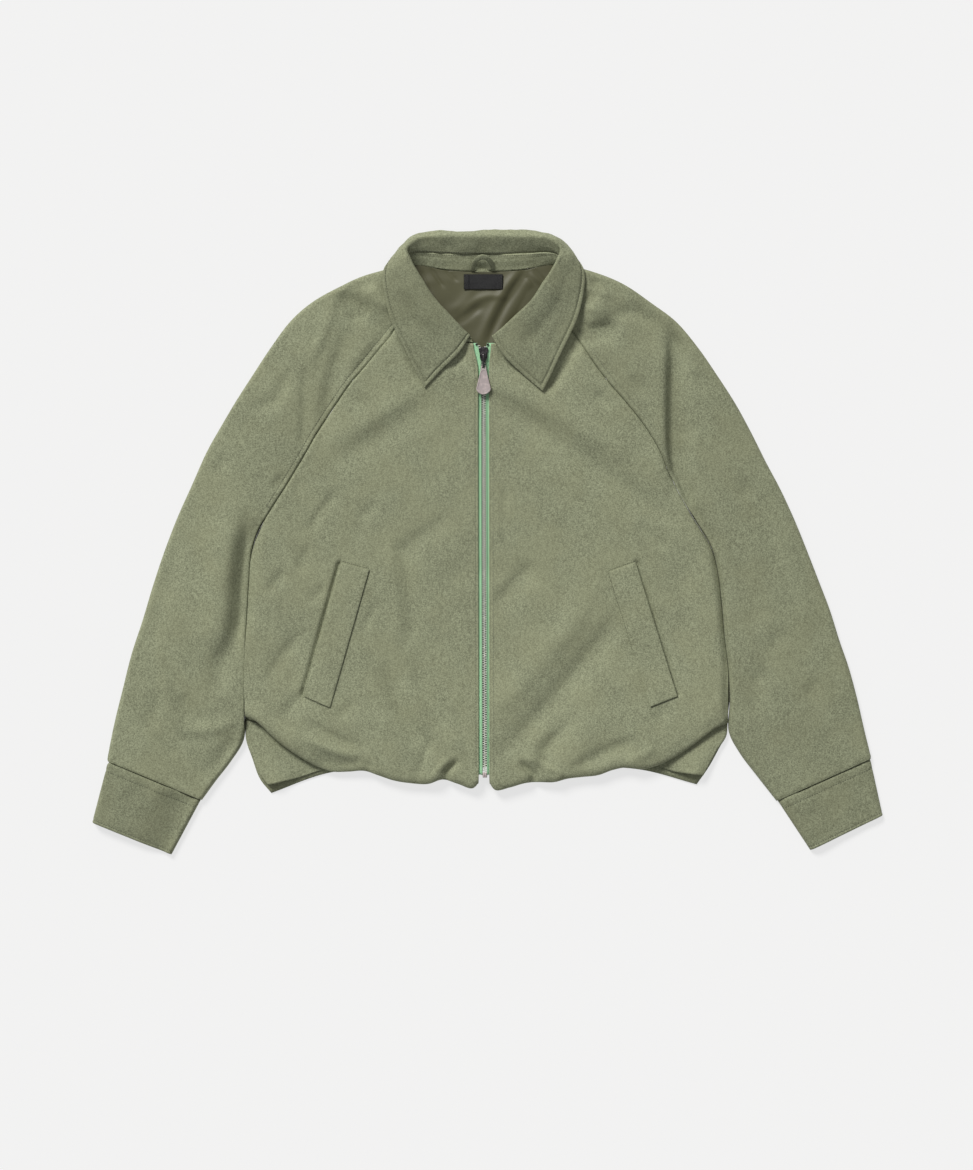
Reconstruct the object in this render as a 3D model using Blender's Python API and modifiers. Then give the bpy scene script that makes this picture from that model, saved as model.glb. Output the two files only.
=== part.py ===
"""Zip blouson with raglan sleeves and a rolled bubble hem, laid flat on its back.

Every cut and sewn piece is its own closed wall. The tables hold millimetres: X runs to the right of
the front view, Y towards the collar, and Z up from the surface that the back panel lies on. A piece is
a grid whose points are placed on a named surface, and Solidify then gives the cloth its thickness.
"""
import math

import bmesh
import bpy
from mathutils import Matrix, Vector

MM = 0.001

# Cloth walls
SUEDE_WALL = 1.5
COLLAR_WALL = 1.8
CUFF_WALL = 2.0
LINING_WALL = 1.0
TAPE_WALL = 0.7
LABEL_WALL = 0.6
SEAM_GAP = 0.3
SIDE_GAP = 0.7

# Heights of the outer cloth above the surface
CHEST_HEIGHT = 10.0
BUBBLE_HEIGHT = 15.0
BUBBLE_TOP_Y = -120.0
BUBBLE_LOW_Y = -235.0
SLEEVE_RISE = 2.5
LEAST_HEIGHT = 4.6
FRONT_EDGE_LOW = 2.4
CUFF_HEIGHT = 7.9
CUFF_SWELL = 0.9

# the hem's roll: its radius, the height and depths of the cloth turned under, and the length over which
# the roll opens towards the side seam
HEM_ROLL = 9.0
HEM_ROLL_LOW = 4.3
HEM_UNDER = (8.0, 20.0)
HEM_UNROLL = 42.0
FRONT_COLUMNS = 11

# Turned edges
BODY_TURN = 8.0
SLEEVE_TURN = 5.0
OUTER_TURN = 6.0
TURN_SHARES = (0.0, 0.11, 0.42)
TURN_ANGLES = (60, 30, 0, -30, -60, -90)

# Rows along a sleeve: the tables below have a row for each station
STATIONS = 20
SIDE_STATIONS = 16
UNDERARM_STATION = 11
ROWS_PER_STATION = 1.5

# outer edge x, y | seam beside the body x, y | back seam x, y
SLEEVE_LEFT = (
    (-100, 321, -79, 276, -89, 318),
    (-117, 315, -96, 258, -98, 288),
    (-144, 307, -114, 237, -115, 255),
    (-172, 294, -136, 210, -137, 217),
    (-202, 277, -158, 183, -158, 183),
    (-227, 255, -179, 153, -179, 153),
    (-250, 224, -198, 123, -198, 123),
    (-271, 192, -214, 95, -214, 95),
    (-289, 164, -231, 67, -231, 67),
    (-305, 137, -248, 40, -248, 40),
    (-323, 105, -263, 15, -263, 15),
    (-340, 67, -272, -12, -272, -12),
    (-357, 29, -275, -47, -275, -47),
    (-372, -10, -277, -83, -277, -83),
    (-385, -49, -279, -121, -279, -121),
    (-397, -89, -280, -160, -280, -160),
    (-410, -129, -280, -196, -280, -196),
    (-420, -169, -281, -227, -281, -227),
    (-428, -201, -296, -252, -296, -252),
    (-434, -229, -313, -274, -313, -274),
    (-438, -251, -329, -296, -329, -296),
)
SLEEVE_RIGHT = (
    (92, 321, 71, 276, 81, 318),
    (109, 316, 87, 258, 89, 288),
    (134, 308, 103, 237, 105, 255),
    (160, 296, 121, 209, 122, 217),
    (189, 276, 140, 184, 140, 184),
    (218, 254, 160, 161, 160, 161),
    (243, 224, 179, 137, 179, 137),
    (265, 192, 194, 112, 194, 112),
    (285, 161, 207, 86, 207, 86),
    (303, 128, 221, 57, 221, 57),
    (320, 94, 239, 26, 239, 26),
    (338, 60, 258, -6, 258, -6),
    (354, 25, 266, -38, 266, -38),
    (367, -7, 270, -72, 270, -72),
    (381, -43, 273, -108, 273, -108),
    (394, -77, 277, -144, 277, -144),
    (405, -112, 279, -182, 279, -182),
    (416, -144, 278, -217, 278, -217),
    (425, -177, 290, -241, 290, -241),
    (434, -216, 311, -269, 311, -269),
    (442, -248, 333, -297, 333, -297),
)

# cuff hem: outer edge x, y | inner edge x, y
CUFF_END = {"left": (-456, -321, -363, -359), "right": (456, -313, 371, -354)}

# neck edge of a front, from the zip to the raglan seam
NECK_LEFT = ((-16.3, 229.2), (-30, 232), (-47, 243), (-63, 258), (-79, 276))
NECK_RIGHT = ((4.0, 229), (21, 232), (38, 243), (55, 258), (71, 276))

# lowest edge of the rolled hem, from the zip to the side seam
HEM_LEFT = (
    (-10, -276), (-17, -282), (-34, -277), (-52, -272), (-68, -277), (-90, -276), (-108, -273),
    (-126, -267), (-142, -262), (-160, -263), (-178, -263), (-194, -258), (-211, -249), (-228, -238),
    (-245, -225), (-262, -212), (-279, -200),
)
HEM_RIGHT = (
    (2, -276), (9, -284), (26, -281), (44, -276), (60, -275), (76, -275), (92, -271), (109, -269),
    (127, -267), (144, -261), (160, -258), (177, -260), (195, -256), (214, -247), (235, -234),
    (256, -221), (277, -207),
)

# edge of the hem band below the roll, from the side seam to the zip, and the back's own hem
BAND_LEFT = ((-279, -204), (-278, -226), (-271, -247), (-262, -268), (-252, -282), (-222, -272),
             (-190, -261), (-14, -258))
BAND_RIGHT = ((276.6, -207), (275, -222), (265, -238), (257, -253), (248, -271), (216, -264),
              (196, -257), (6, -258))
BAND_CORNER = 4
BAND_TOP_Y = -226.0
BAND_LIFT = 2.4
BACK_SIDE_LEFT = ((-278, -227), (-271, -248), (-262, -272), (-249, -288))
BACK_SIDE_RIGHT = ((276.4, -203), (273.5, -223), (265, -240), (255, -258), (241, -278))
BACK_HEM = ((-249, -288), (-184, -265), (-90, -258), (-4, -258), (85, -258), (176, -261), (241, -278))
BACK_NECK = ((-89, 318), (-74, 321), (-56, 319), (-30, 317), (-4, 316.5), (22, 317), (48, 319), (66, 321),
             (81, 318))

# zip
ZIP_TOP = (-4.6, 230.0)
ZIP_BOTTOM = (-3.1, -270.0)
ZIP_OPENING = 12.3
ZIP_FLARE = {"left": 5.5, "right": 2.4}
ZIP_FLARE_LENGTH = 34.0
TAPE_WIDTH = 9.0
TAPE_FLARE = {"left": 4.6, "right": 1.2}
CHAIN_WIDTH = 4.6
CHAIN_THICK = 2.2
CHAIN_RISE = 0.75
SLIDER_PLAY = 0.35
SLIDER_Y = 217.3
SLIDER_LENGTH = 16.0
SLIDER_WIDTH = 11.0
SLIDER_PLATE = 1.1
PIN_Y = 215.5
PIN_RADIUS = 0.75
LINK_LENGTH = 12.0
LINK_WIDTH = 2.6
LINK_STRIP = 1.1
LINK_RADIUS = 2.0
EAR_GAP = 3.6
EAR_WALL = 0.9
EAR_LENGTH = 4.4
EAR_RISE = 1.5
EAR_SUNK = 0.4
STOP_SIZE = (1.9, 2.4, 1.2)
BOX_SIZE = (CHAIN_WIDTH, 6.0, 3.0)
TAB_WIDTH = 17.6
TAB_LENGTH = 34.0
TAB_THICK = 1.6
TAB_EYE_RADIUS = 3.05
TAB_HOLE = (3.4, 0.85, 3.8)

# largest folds: start x, y | end x, y | bow | half width left and right of the way | rise
FOLDS = {
    "chest_trough_right": (10, 162, 202, 34, 2, 12, 15, -4.0),
    "chest_ridge_right": (0, 187, 152, 104, 3, 16, 11, 3.4),
    "chest_trough_left": (-72, 156, -172, 94, 0, 15, 12, -3.0),
    "chest_ridge_left": (-74, 180, -164, 122, 0, 11, 16, 2.4),
    "waist_trough": (-40, -36, 40, -32, 2, 14, 14, -1.6),
    "middle_trough_left": (-50, 26, -106, -12, 0, 12, 8, -2.2),
    "low_trough_right": (142, -98, 26, -234, 3, 16, 12, -5.0),
    "low_ridge_right": (114, -68, 12, -190, 5, 14, 19, 3.4),
    "side_trough_right": (226, -18, 232, -112, 0, 18, 17, -2.6),
    "side_trough_left": (-224, -92, -222, -170, 0, 20, 16, -2.2),
    "hem_trough_left": (-116, -150, -74, -236, -2, 12, 10, -4.6),
    "hem_trough_zip": (-84, -144, -44, -216, -2, 10, 9, -3.4),
    "hem_trough_right": (92, -206, 56, -264, 0, 10, 9, -3.2),
    "hem_ridge_left": (-126, -196, -92, -250, 0, 9, 11, 2.8),
    "hem_ridge_right": (120, -200, 96, -255, 0, 18, 16, 2.0),
    "sleeve_valley_left": (-279, 18, -288, -108, 0, 6, 12, -4.4),
    "sleeve_ridge_left": (-292, 30, -305, -112, 0, 15, 26, 5.0),
    "shoulder_hollow_left": (-146, 248, -122, 272, 0, 10, 14, -5.2),
    "shoulder_fold_left": (-162, 240, -190, 124, -4, 13, 8, -3.2),
    "shoulder_hollow_right": (106, 232, 132, 256, 0, 10, 14, -5.2),
    "sleeve_crease_right": (214, 236, 215, 80, 0, 16, 6, -6.4),
    "sleeve_crease_ridge": (200, 230, 202, 84, 0, 8, 13, 4.2),
    "sleeve_dent_right": (318, -120, 306, -190, 0, 16, 16, -2.2),
    "elbow_dent_left": (-376, -178, -394, -220, 0, 9, 11, -2.6),
}

# collar, left half from the front end to the middle of the back, about the collar's own middle line:
# neck x, y, z | roll x, y, z | belly x, y, z | lower belly x, y, z | free edge x, y, z | right shift
COLLAR_MIDDLE = -4.3
COLLAR = (
    (-17, 230.4, 9.4, -19.5, 238, 12.4, -28, 216, 15.6, -50, 193, 13.4, -72, 178, 12.7, -6.5),
    (-31, 233.4, 8.6, -32, 250, 14.5, -46, 231, 17.2, -64, 212, 14.0, -82, 196, 13.6, -4),
    (-46, 243.2, 8.6, -45, 264, 17.0, -60, 246, 19.0, -77, 230, 14.6, -92, 216, 14.4, -2),
    (-58.4, 255, 8.6, -57, 277, 19.5, -72, 262, 21.0, -88, 249, 15.2, -102.5, 237, 14.8, 0),
    (-68.4, 265.3, 8.6, -68, 291, 21.5, -82, 278, 22.5, -98, 267, 16.0, -111.5, 257, 14.8, 0),
    (-79.5, 281, 8.6, -77, 305, 22.2, -91, 293, 23.6, -105, 284, 16.8, -117, 276, 14.4, 0),
    (-85.6, 294, 8.6, -84, 316.5, 22.6, -97, 306, 23.2, -109.5, 299, 17.2, -120, 292, 13.8, 0),
    (-90.5, 305, 8.6, -90, 326.5, 22.6, -102, 318, 22.2, -112, 312, 17.0, -121, 306, 12.7, 0),
    (-93.5, 314, 7.5, -94, 336.5, 22.0, -104, 331, 19.0, -111, 325, 14.0, -118, 318, 11.5, 0),
    (-90, 319.5, 4.9, -90, 346, 21.2, -97, 345, 13.0, -102, 340, 5.0, -104, 331, 2.2, 0),
    (-79, 319.8, 3.7, -79, 352, 20.2, -84, 355, 10.5, -84.5, 350, 0.8, -84, 334, 0.0, 0),
    (-58, 316.3, 3.4, -61, 354, 19.4, -64, 359, 10.0, -64, 352, 0.0, -62, 333, 0.0, 0),
    (-34, 313.6, 3.4, -35, 354.5, 19.0, -36, 359, 10.0, -36, 352, 0.0, -35, 332, 0.0, 0),
    (-4.3, 312.8, 3.4, -4.3, 354.5, 19.0, -4.3, 359, 10.0, -4.3, 352, 0.0, -4.3, 332, 0.0, 0),
)
# moves of neck, roll, belly, lower belly and free edge at the front ends, which differ between the sides
COLLAR_ENDS = {
    "left": ((0, 0), (0, 0), (-4, 3), (-4.5, 4), (0, 0)),
    "right": ((0, 0), (0, 0), (0, 0), (0, 0), (0, -3.5)),
}
COLLAR_END_SHARE = 0.2
COLLAR_SPANS = 36
ROLL_RADIUS = 3.8
ROLL_RADIUS_END = 2.7
ROLL_STEPS = 4
STAND_STEPS = 2
FALL_STEPS = 5

# neck lining, label and loop: the lining's top edge from left to right, then its two sides downwards
LINING_TOP = (
    (-90, 311), (-85, 317), (-73, 318.2), (-56, 315.2), (-34, 313.0), (-4.3, 312.2), (25.4, 313.0),
    (47.4, 315.2), (64.4, 318.2), (76.4, 317), (81.4, 311),
)
LINING_LEFT = ((-90, 311), (-92, 294), (-76, 246), (-44, 200))
LINING_RIGHT = ((81.4, 311), (83, 294), (68, 246), (36, 200))
LINING_BASE = 1.9
LABEL_SIZE = (45.0, 17.5)
LABEL_CENTRE = (-4.8, 300.6)
LOOP_CENTRE = (-5.3, 313.0)
LOOP_HALF_WIDTH = 11.7
LOOP_REACH = 13.6
LOOP_BAND = 5.6
LOOP_THICK = 1.4

# pocket welts: top outer, top inner, bottom inner, bottom outer corner
WELTS = {
    "left": ((-168, -22), (-136, -31), (-181, -189), (-211, -176)),
    "right": ((170, -22), (139, -33), (187, -188), (218, -176)),
}
WELT_WALL = 1.3

COLOURS = {
    "suede": (0.245, 0.262, 0.165, 0.9, 0.0),
    "lining": (0.079, 0.082, 0.043, 0.45, 0.0),
    "label": (0.014, 0.014, 0.016, 0.7, 0.0),
    "tape": (0.245, 0.47, 0.26, 0.8, 0.0),
    "dark_metal": (0.09, 0.085, 0.09, 0.35, 1.0),
    "pale_metal": (0.42, 0.37, 0.36, 0.45, 1.0),
}


def ease(t):
    """Smooth step from 0 to 1."""
    t = min(max(t, 0.0), 1.0)
    return t * t * (3.0 - 2.0 * t)


def mix(a, b, t):
    return tuple(p + (q - p) * t for p, q in zip(a, b))


def slope_at(before, here, after, gap_in, gap_out):
    """Tangent of the smooth curve at a point, from the points beside it and the gaps to them."""
    return tuple(
        ((p - a) / gap_in * gap_out + (b - p) / gap_out * gap_in) / (gap_in + gap_out)
        for a, p, b in zip(before, here, after)
    )


def smooth_row(rows, t):
    """Point on the smooth curve through a table's rows, t from 0 at the first to 1 at the last."""
    last = len(rows) - 1
    place = min(max(t, 0.0), 1.0) * last
    k = min(int(place), last - 1)
    f = place - k
    a, b = rows[k], rows[k + 1]
    before = rows[k - 1] if k else tuple(2 * p - q for p, q in zip(a, b))
    after = rows[k + 2] if k + 2 <= last else tuple(2 * q - p for p, q in zip(a, b))
    gaps = [max(math.dist(p, q), 1e-6) ** 0.75 for p, q in ((before, a), (a, b), (b, after))]
    start = slope_at(before, a, b, gaps[0], gaps[1])
    end = slope_at(a, b, after, gaps[1], gaps[2])
    h = gaps[1]
    return tuple(
        p * (1 + 2 * f) * (1 - f) ** 2 + m * h * f * (1 - f) ** 2
        + q * f * f * (3 - 2 * f) - n * h * f * f * (1 - f)
        for p, q, m, n in zip(a, b, start, end)
    )


def turned(distance, radius):
    """Share of the full height at a distance in from a turned edge."""
    inside = min(max(distance / radius, 0.0), 1.0)
    return math.sqrt(1.0 - (1.0 - inside) ** 2)


def fold_rise(x, y):
    """Sum of the soft troughs and ridges at a plan point."""
    total = 0.0
    for x0, y0, x1, y1, bow, left, right, rise in FOLDS.values():
        dx, dy = x1 - x0, y1 - y0
        length = math.hypot(dx, dy)
        along = ((x - x0) * dx + (y - y0) * dy) / length ** 2
        if not -0.3 < along < 1.3:
            continue
        across = ((y - y0) * dx - (x - x0) * dy) / length
        across -= bow * (1.0 - (2.0 * along - 1.0) ** 2)
        width = left if across > 0 else right
        fade = ease((along + 0.25) / 0.5) * ease((1.25 - along) / 0.5)
        total += rise * fade * math.exp(-((across / width) ** 2))
    return total


def cloth_height(x, y, base=CHEST_HEIGHT):
    """Height of the outer cloth at a plan point, folds and all."""
    height = base + fold_rise(x, y)
    return max(height, LEAST_HEIGHT + 0.25 * (height - LEAST_HEIGHT))


def front_base(y):
    """The front swells towards its rolled hem."""
    swell = ease((BUBBLE_TOP_Y - y) / (BUBBLE_TOP_Y - BUBBLE_LOW_Y))
    return CHEST_HEIGHT + (BUBBLE_HEIGHT - CHEST_HEIGHT) * swell


def closed_share(station):
    """0 where a sleeve is open to the body at its raglan seam, 1 where its seam is a turned edge."""
    return ease((station - UNDERARM_STATION + 1.6) / 2.2)


def seam_gap(station):
    return SEAM_GAP + (SIDE_GAP - SEAM_GAP) * closed_share(station)


def seam_point(table, station, column, shift):
    """Point on a sleeve seam, moved square to it; a positive shift goes towards the body."""
    at = station / STATIONS
    step = 0.004
    x, y = smooth_row(table, at)[column:column + 2]
    xa, ya = smooth_row(table, at - step)[column:column + 2]
    xb, yb = smooth_row(table, at + step)[column:column + 2]
    across = Vector((yb - ya, xa - xb)).normalized()
    if across.x * x > 0:
        across = -across
    return x + across.x * shift, y + across.y * shift


def add_material(name):
    red, green, blue, roughness, metallic = COLOURS[name]
    material = bpy.data.materials.get(name)
    if material is None:
        material = bpy.data.materials.new(name)
        material.use_nodes = True
        shader = material.node_tree.nodes["Principled BSDF"]
        shader.inputs["Base Color"].default_value = (red, green, blue, 1.0)
        shader.inputs["Roughness"].default_value = roughness
        shader.inputs["Metallic"].default_value = metallic
        material.diffuse_color = (red, green, blue, 1.0)
    return material


def add_object(name, mesh, finish, collection):
    item = bpy.data.objects.new(name, mesh)
    mesh.materials.append(add_material(finish))
    collection.objects.link(item)
    return item


def add_wall(item, wall):
    """Cloth thickness, laid inside the modelled face."""
    solid = item.modifiers.new("wall", "SOLIDIFY")
    solid.thickness = wall * MM
    solid.offset = -1.0
    solid.use_rim = True


def cloth(name, columns, rows, place, wall, finish, collection, flip=False):
    """A grid whose points are placed by column and row, then given its wall."""
    bm = bmesh.new()
    bmesh.ops.create_grid(bm, x_segments=columns, y_segments=rows, size=0.5)
    for vert in bm.verts:
        column = round((vert.co.x + 0.5) * columns)
        row = round((vert.co.y + 0.5) * rows)
        vert.co = Vector(place(column, row)) * MM
    if flip:
        bmesh.ops.reverse_faces(bm, faces=bm.faces)
    bmesh.ops.triangulate(bm, faces=bm.faces)
    mesh = bpy.data.meshes.new(name)
    bm.to_mesh(mesh)
    bm.free()
    mesh.shade_smooth()
    item = add_object(name, mesh, finish, collection)
    add_wall(item, wall)
    return item


def sleeve_section(outer, inner, back, station, height_at, front_steps, back_steps):
    """Points round one sleeve section: front layer outwards, the outer turn, back layer inwards."""
    reach = Vector(outer) - Vector(inner)
    width = reach.length
    reach.normalize()
    last = width - OUTER_TURN
    distances = [SLEEVE_TURN * share for share in TURN_SHARES] + [
        SLEEVE_TURN + (last - SLEEVE_TURN) * k / front_steps for k in range(front_steps + 1)
    ]
    shut = closed_share(station)
    points = []
    for distance in distances:
        x, y = Vector(inner) + reach * distance
        top = height_at(x, y, distance / width)
        low = FRONT_EDGE_LOW + (top - FRONT_EDGE_LOW) * turned(distance, SLEEVE_TURN)
        points.append((x, y, top + (low - top) * shut))
    half = points[-1][2] / 2.0
    for angle in TURN_ANGLES:
        a = math.radians(angle)
        x, y = Vector(inner) + reach * (last + OUTER_TURN * math.cos(a))
        points.append((x, y, half + half * math.sin(a)))
    floor_start = points[-1]
    for k in range(1, back_steps + 1):
        x, y = mix(floor_start[:2], back, k / back_steps)
        points.append((x, y, 0.0))
    return points


def make_sleeve(side, table, collection):
    rows = int(STATIONS * ROWS_PER_STATION)
    front_steps, back_steps = 7, 3
    sections = []
    for row in range(rows + 1):
        station = row / ROWS_PER_STATION
        gap = seam_gap(station) / 2.0
        outer = smooth_row(table, station / STATIONS)[:2]
        inner = seam_point(table, station, 2, -gap)
        back = seam_point(table, station, 4, -gap)
        taper = ease((station - STATIONS + 3.5) / 3.5)

        def height_at(x, y, share, taper=taper, station=station):
            rise = SLEEVE_RISE * math.sin(math.pi * share) * ease(station / 6.0)
            full = cloth_height(x, y, CHEST_HEIGHT + rise)
            return full + (CUFF_HEIGHT + CUFF_SWELL - full) * taper

        sections.append(sleeve_section(outer, inner, back, station, height_at, front_steps, back_steps))
    columns = len(sections[0]) - 1
    return cloth(f"sleeve_{side}", columns, rows, lambda c, r: sections[r][c], SUEDE_WALL, "suede",
                 collection, flip=side == "right")


def make_cuff(side, table, collection):
    """A doubled band sewn to the sleeve's end, flat like the sleeve."""
    outer_top, inner_top = Vector(table[-1][:2]), Vector(table[-1][2:4])
    outer_end, inner_end = Vector(CUFF_END[side][:2]), Vector(CUFF_END[side][2:])
    length = (outer_end - outer_top).length
    start = (SEAM_GAP + 0.2) / length
    rows = 4
    sections = []
    for row in range(rows + 1):
        along = start + (1.0 - start) * row / rows
        outer = outer_top.lerp(outer_end, along)
        inner = inner_top.lerp(inner_end, along)
        outer = outer.lerp(inner, 0.012)
        inner = inner.lerp(outer, 0.012)

        def height_at(x, y, share, along=along):
            return CUFF_HEIGHT + CUFF_SWELL * math.sin(math.pi * share) * (1.0 - 0.5 * along)

        sections.append(sleeve_section(outer, inner, inner, STATIONS, height_at, 4, 2))
    for section in sections:
        for k in range(len(TURN_SHARES)):
            x, y, z = section[k]
            section[k] = (x, y, max(z, CUFF_WALL + SEAM_GAP + 0.8))
    columns = len(sections[0]) - 1
    return cloth(f"cuff_{side}", columns, rows, lambda c, r: sections[r][c], CUFF_WALL, "suede",
                 collection, flip=side == "right")


def zip_x(y):
    share = (ZIP_TOP[1] - y) / (ZIP_TOP[1] - ZIP_BOTTOM[1])
    return ZIP_TOP[0] + (ZIP_BOTTOM[0] - ZIP_TOP[0]) * share


def zip_flare(side, y):
    """How far a front's edge spreads from the zip's straight line near the top."""
    share = (y - NECK_LEFT[0][1] + ZIP_FLARE_LENGTH) / ZIP_FLARE_LENGTH
    return ZIP_FLARE[side] * ease(share) ** 1.3


def tape_flare(side, y):
    """How far a tape spreads from the middle above the slider."""
    return TAPE_FLARE[side] * ease((y - SLIDER_Y + 2.0) / 15.0)


def coons(top, bottom, start, end, u, v):
    """Plan point of the patch between four edges; start and end are its sides at u 0 and 1."""
    edges = [p * (1 - v) + q * v + a * (1 - u) + b * u
             for p, q, a, b in zip(top(u), bottom(u), start(v), end(v))]
    corners = [(1 - u) * (1 - v) * p + u * (1 - v) * q + (1 - u) * v * r + u * v * s
               for p, q, r, s in zip(top(0), top(1), bottom(0), bottom(1))]
    return tuple(e - c for e, c in zip(edges, corners))


def make_front(side, table, neck, hem, collection):
    """One front: it meets the sleeve at the raglan seam, turns down at the side and rolls under."""
    sign = -1.0 if side == "left" else 1.0
    main_rows = int(SIDE_STATIONS * ROWS_PER_STATION)
    zip_edge_top = (ZIP_TOP[0] + sign * ZIP_OPENING / 2.0, neck[0][1])
    hem_start = smooth_row(hem, 0.0)

    def inward(u):
        lean = ease((u - 0.55) / 0.37) * (1.0 - ease((u - 0.93) / 0.07))
        return Vector((-sign * 0.62 * lean, 1.0)).normalized()

    def top(u):
        return smooth_row(neck, u)

    def bottom(u):
        return tuple(Vector(smooth_row(hem, u)) + inward(u) * HEM_ROLL)

    def zip_side(v):
        x, y = mix(zip_edge_top, (hem_start[0], hem_start[1] + HEM_ROLL), v)
        return x + sign * zip_flare(side, y), y

    def sleeve_side(v):
        station = v * SIDE_STATIONS
        edge = seam_point(table, station, 2, seam_gap(station) / 2.0)
        drop = Vector(bottom(1.0)) - Vector(seam_point(table, SIDE_STATIONS, 2, SIDE_GAP / 2.0))
        return tuple(Vector(edge) + drop * ease((v - 0.94) / 0.06))

    def side_low(v):
        return FRONT_EDGE_LOW + 2.3 * ease((v - 0.86) / 0.10)

    def column_share(column, width):
        if column <= FRONT_COLUMNS:
            return (1.0 - BODY_TURN / width) * column / FRONT_COLUMNS
        return 1.0 - BODY_TURN * TURN_SHARES[len(TURN_SHARES) + FRONT_COLUMNS - column] / width

    def top_point(u, v, width):
        x, y = coons(top, bottom, zip_side, sleeve_side, u, v)
        height = cloth_height(x, y, front_base(y))
        low = side_low(v) + (height - side_low(v)) * turned((1.0 - u) * width, BODY_TURN)
        return x, y, height + (low - height) * closed_share(v * SIDE_STATIONS)

    columns = FRONT_COLUMNS + len(TURN_SHARES)
    sections = []
    for row in range(main_rows + 1):
        v = row / main_rows
        width = (Vector(zip_side(v)) - Vector(sleeve_side(v))).length
        sections.append([top_point(column_share(c, width), v, width) for c in range(columns + 1)])

    last = sections[-1]
    width = (Vector(zip_side(1.0)) - Vector(sleeve_side(1.0))).length
    roll_rows = len(TURN_ANGLES) + len(HEM_UNDER)
    for k in range(1, roll_rows + 1):
        section = []
        for c in range(columns + 1):
            u = column_share(c, width)
            edge = Vector(smooth_row(hem, u))
            height = last[c][2]
            middle = (height + HEM_ROLL_LOW) / 2.0
            if k <= len(TURN_ANGLES):
                a = math.radians(TURN_ANGLES[k - 1])
                reach = HEM_ROLL - HEM_ROLL * math.cos(a)
                z = middle + (height - middle) * math.sin(a)
            else:
                reach = HEM_ROLL + HEM_UNDER[k - len(TURN_ANGLES) - 1]
                z = HEM_ROLL_LOW
            q = k / roll_rows
            open_reach = HEM_ROLL * (1.0 - q)
            open_z = side_low(1.0) + (height - side_low(1.0)) * math.sqrt(1.0 - q * q)
            full = ease((1.0 - u) * width / HEM_UNROLL)
            x, y = edge + inward(u) * (open_reach + (reach - open_reach) * full)
            section.append((x, y, open_z + (z - open_z) * full))
        sections.append(section)
    return cloth(f"front_{side}", columns, len(sections) - 1, lambda c, r: sections[r][c], SUEDE_WALL,
                 "suede", collection, flip=side == "right")


def make_back(collection):
    """The back panel, flat on the surface from the neck to its hem."""
    body_rows = int(SIDE_STATIONS * ROWS_PER_STATION)
    tail_rows = 6

    def side_points(table, tail):
        points = []
        for row in range(body_rows + 1):
            station = row / ROWS_PER_STATION
            points.append(seam_point(table, station, 4, seam_gap(station) / 2.0))
        first = points[-1]
        path = (first,) + tail
        points += [smooth_row(path, k / tail_rows) for k in range(1, tail_rows + 1)]
        return points

    left = side_points(SLEEVE_LEFT, BACK_SIDE_LEFT)
    right = side_points(SLEEVE_RIGHT, BACK_SIDE_RIGHT)
    rows = body_rows + tail_rows
    columns = 6

    def place(column, row):
        x, y = coons(lambda u: smooth_row(BACK_NECK, u), lambda u: smooth_row(BACK_HEM, u),
                     lambda v: left[round(v * rows)], lambda v: right[round(v * rows)],
                     column / columns, row / rows)
        return x, y, 0.0

    return cloth("back", columns, rows, place, SUEDE_WALL, "suede", collection)


def make_hem_band(side, band, collection):
    """The front's hem band: it lies on the back under the roll and shows at the side."""
    columns, rows = 12, 7
    zip_corner = (band[-1][0], BAND_TOP_Y)

    def side_edge(v):
        return smooth_row(band[:BAND_CORNER + 1], v)

    def low_edge(u):
        return smooth_row(band[BAND_CORNER:], u)

    def zip_end(v):
        return mix(zip_corner, band[-1], v)

    def high_edge(u):
        return mix(band[0], zip_corner, u)

    def place(column, row):
        u, v = column / columns, row / rows
        x, y = coons(high_edge, low_edge, side_edge, zip_end, u, v)
        lift = BAND_LIFT * v * ease(1.0 - 2.2 * u) * ease(4.0 * u + 0.15)
        return x, y, SUEDE_WALL * 2 + SEAM_GAP + lift

    return cloth(f"hem_{side}", columns, rows, place, SUEDE_WALL, "suede", collection,
                 flip=side == "left")


def collar_points(t):
    """Neck, roll, belly, lower belly and free edge at t from 0, left front end, to 1, right front end."""
    half = 1.0 - abs(2.0 * t - 1.0)
    row = list(smooth_row(COLLAR, half))
    points = [Vector(row[k:k + 3]) for k in range(0, 15, 3)]
    if t > 0.5:
        for point, share in zip(points, (0.0, 1.0, 0.2, 0.0, 0.0)):
            point.x = 2.0 * COLLAR_MIDDLE - point.x + row[15] * share
    near_end = 1.0 - ease(half / COLLAR_END_SHARE)
    for point, (x, y) in zip(points, COLLAR_ENDS["left" if t <= 0.5 else "right"]):
        point.x += x * near_end
        point.y += y * near_end
    behind = ease((half - 0.56) / 0.12)
    for point in points[2:]:
        floor = cloth_height(point.x, point.y) + COLLAR_WALL + 0.9
        point.z = max(point.z, floor) * (1.0 - behind) + point.z * behind
    return points


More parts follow.
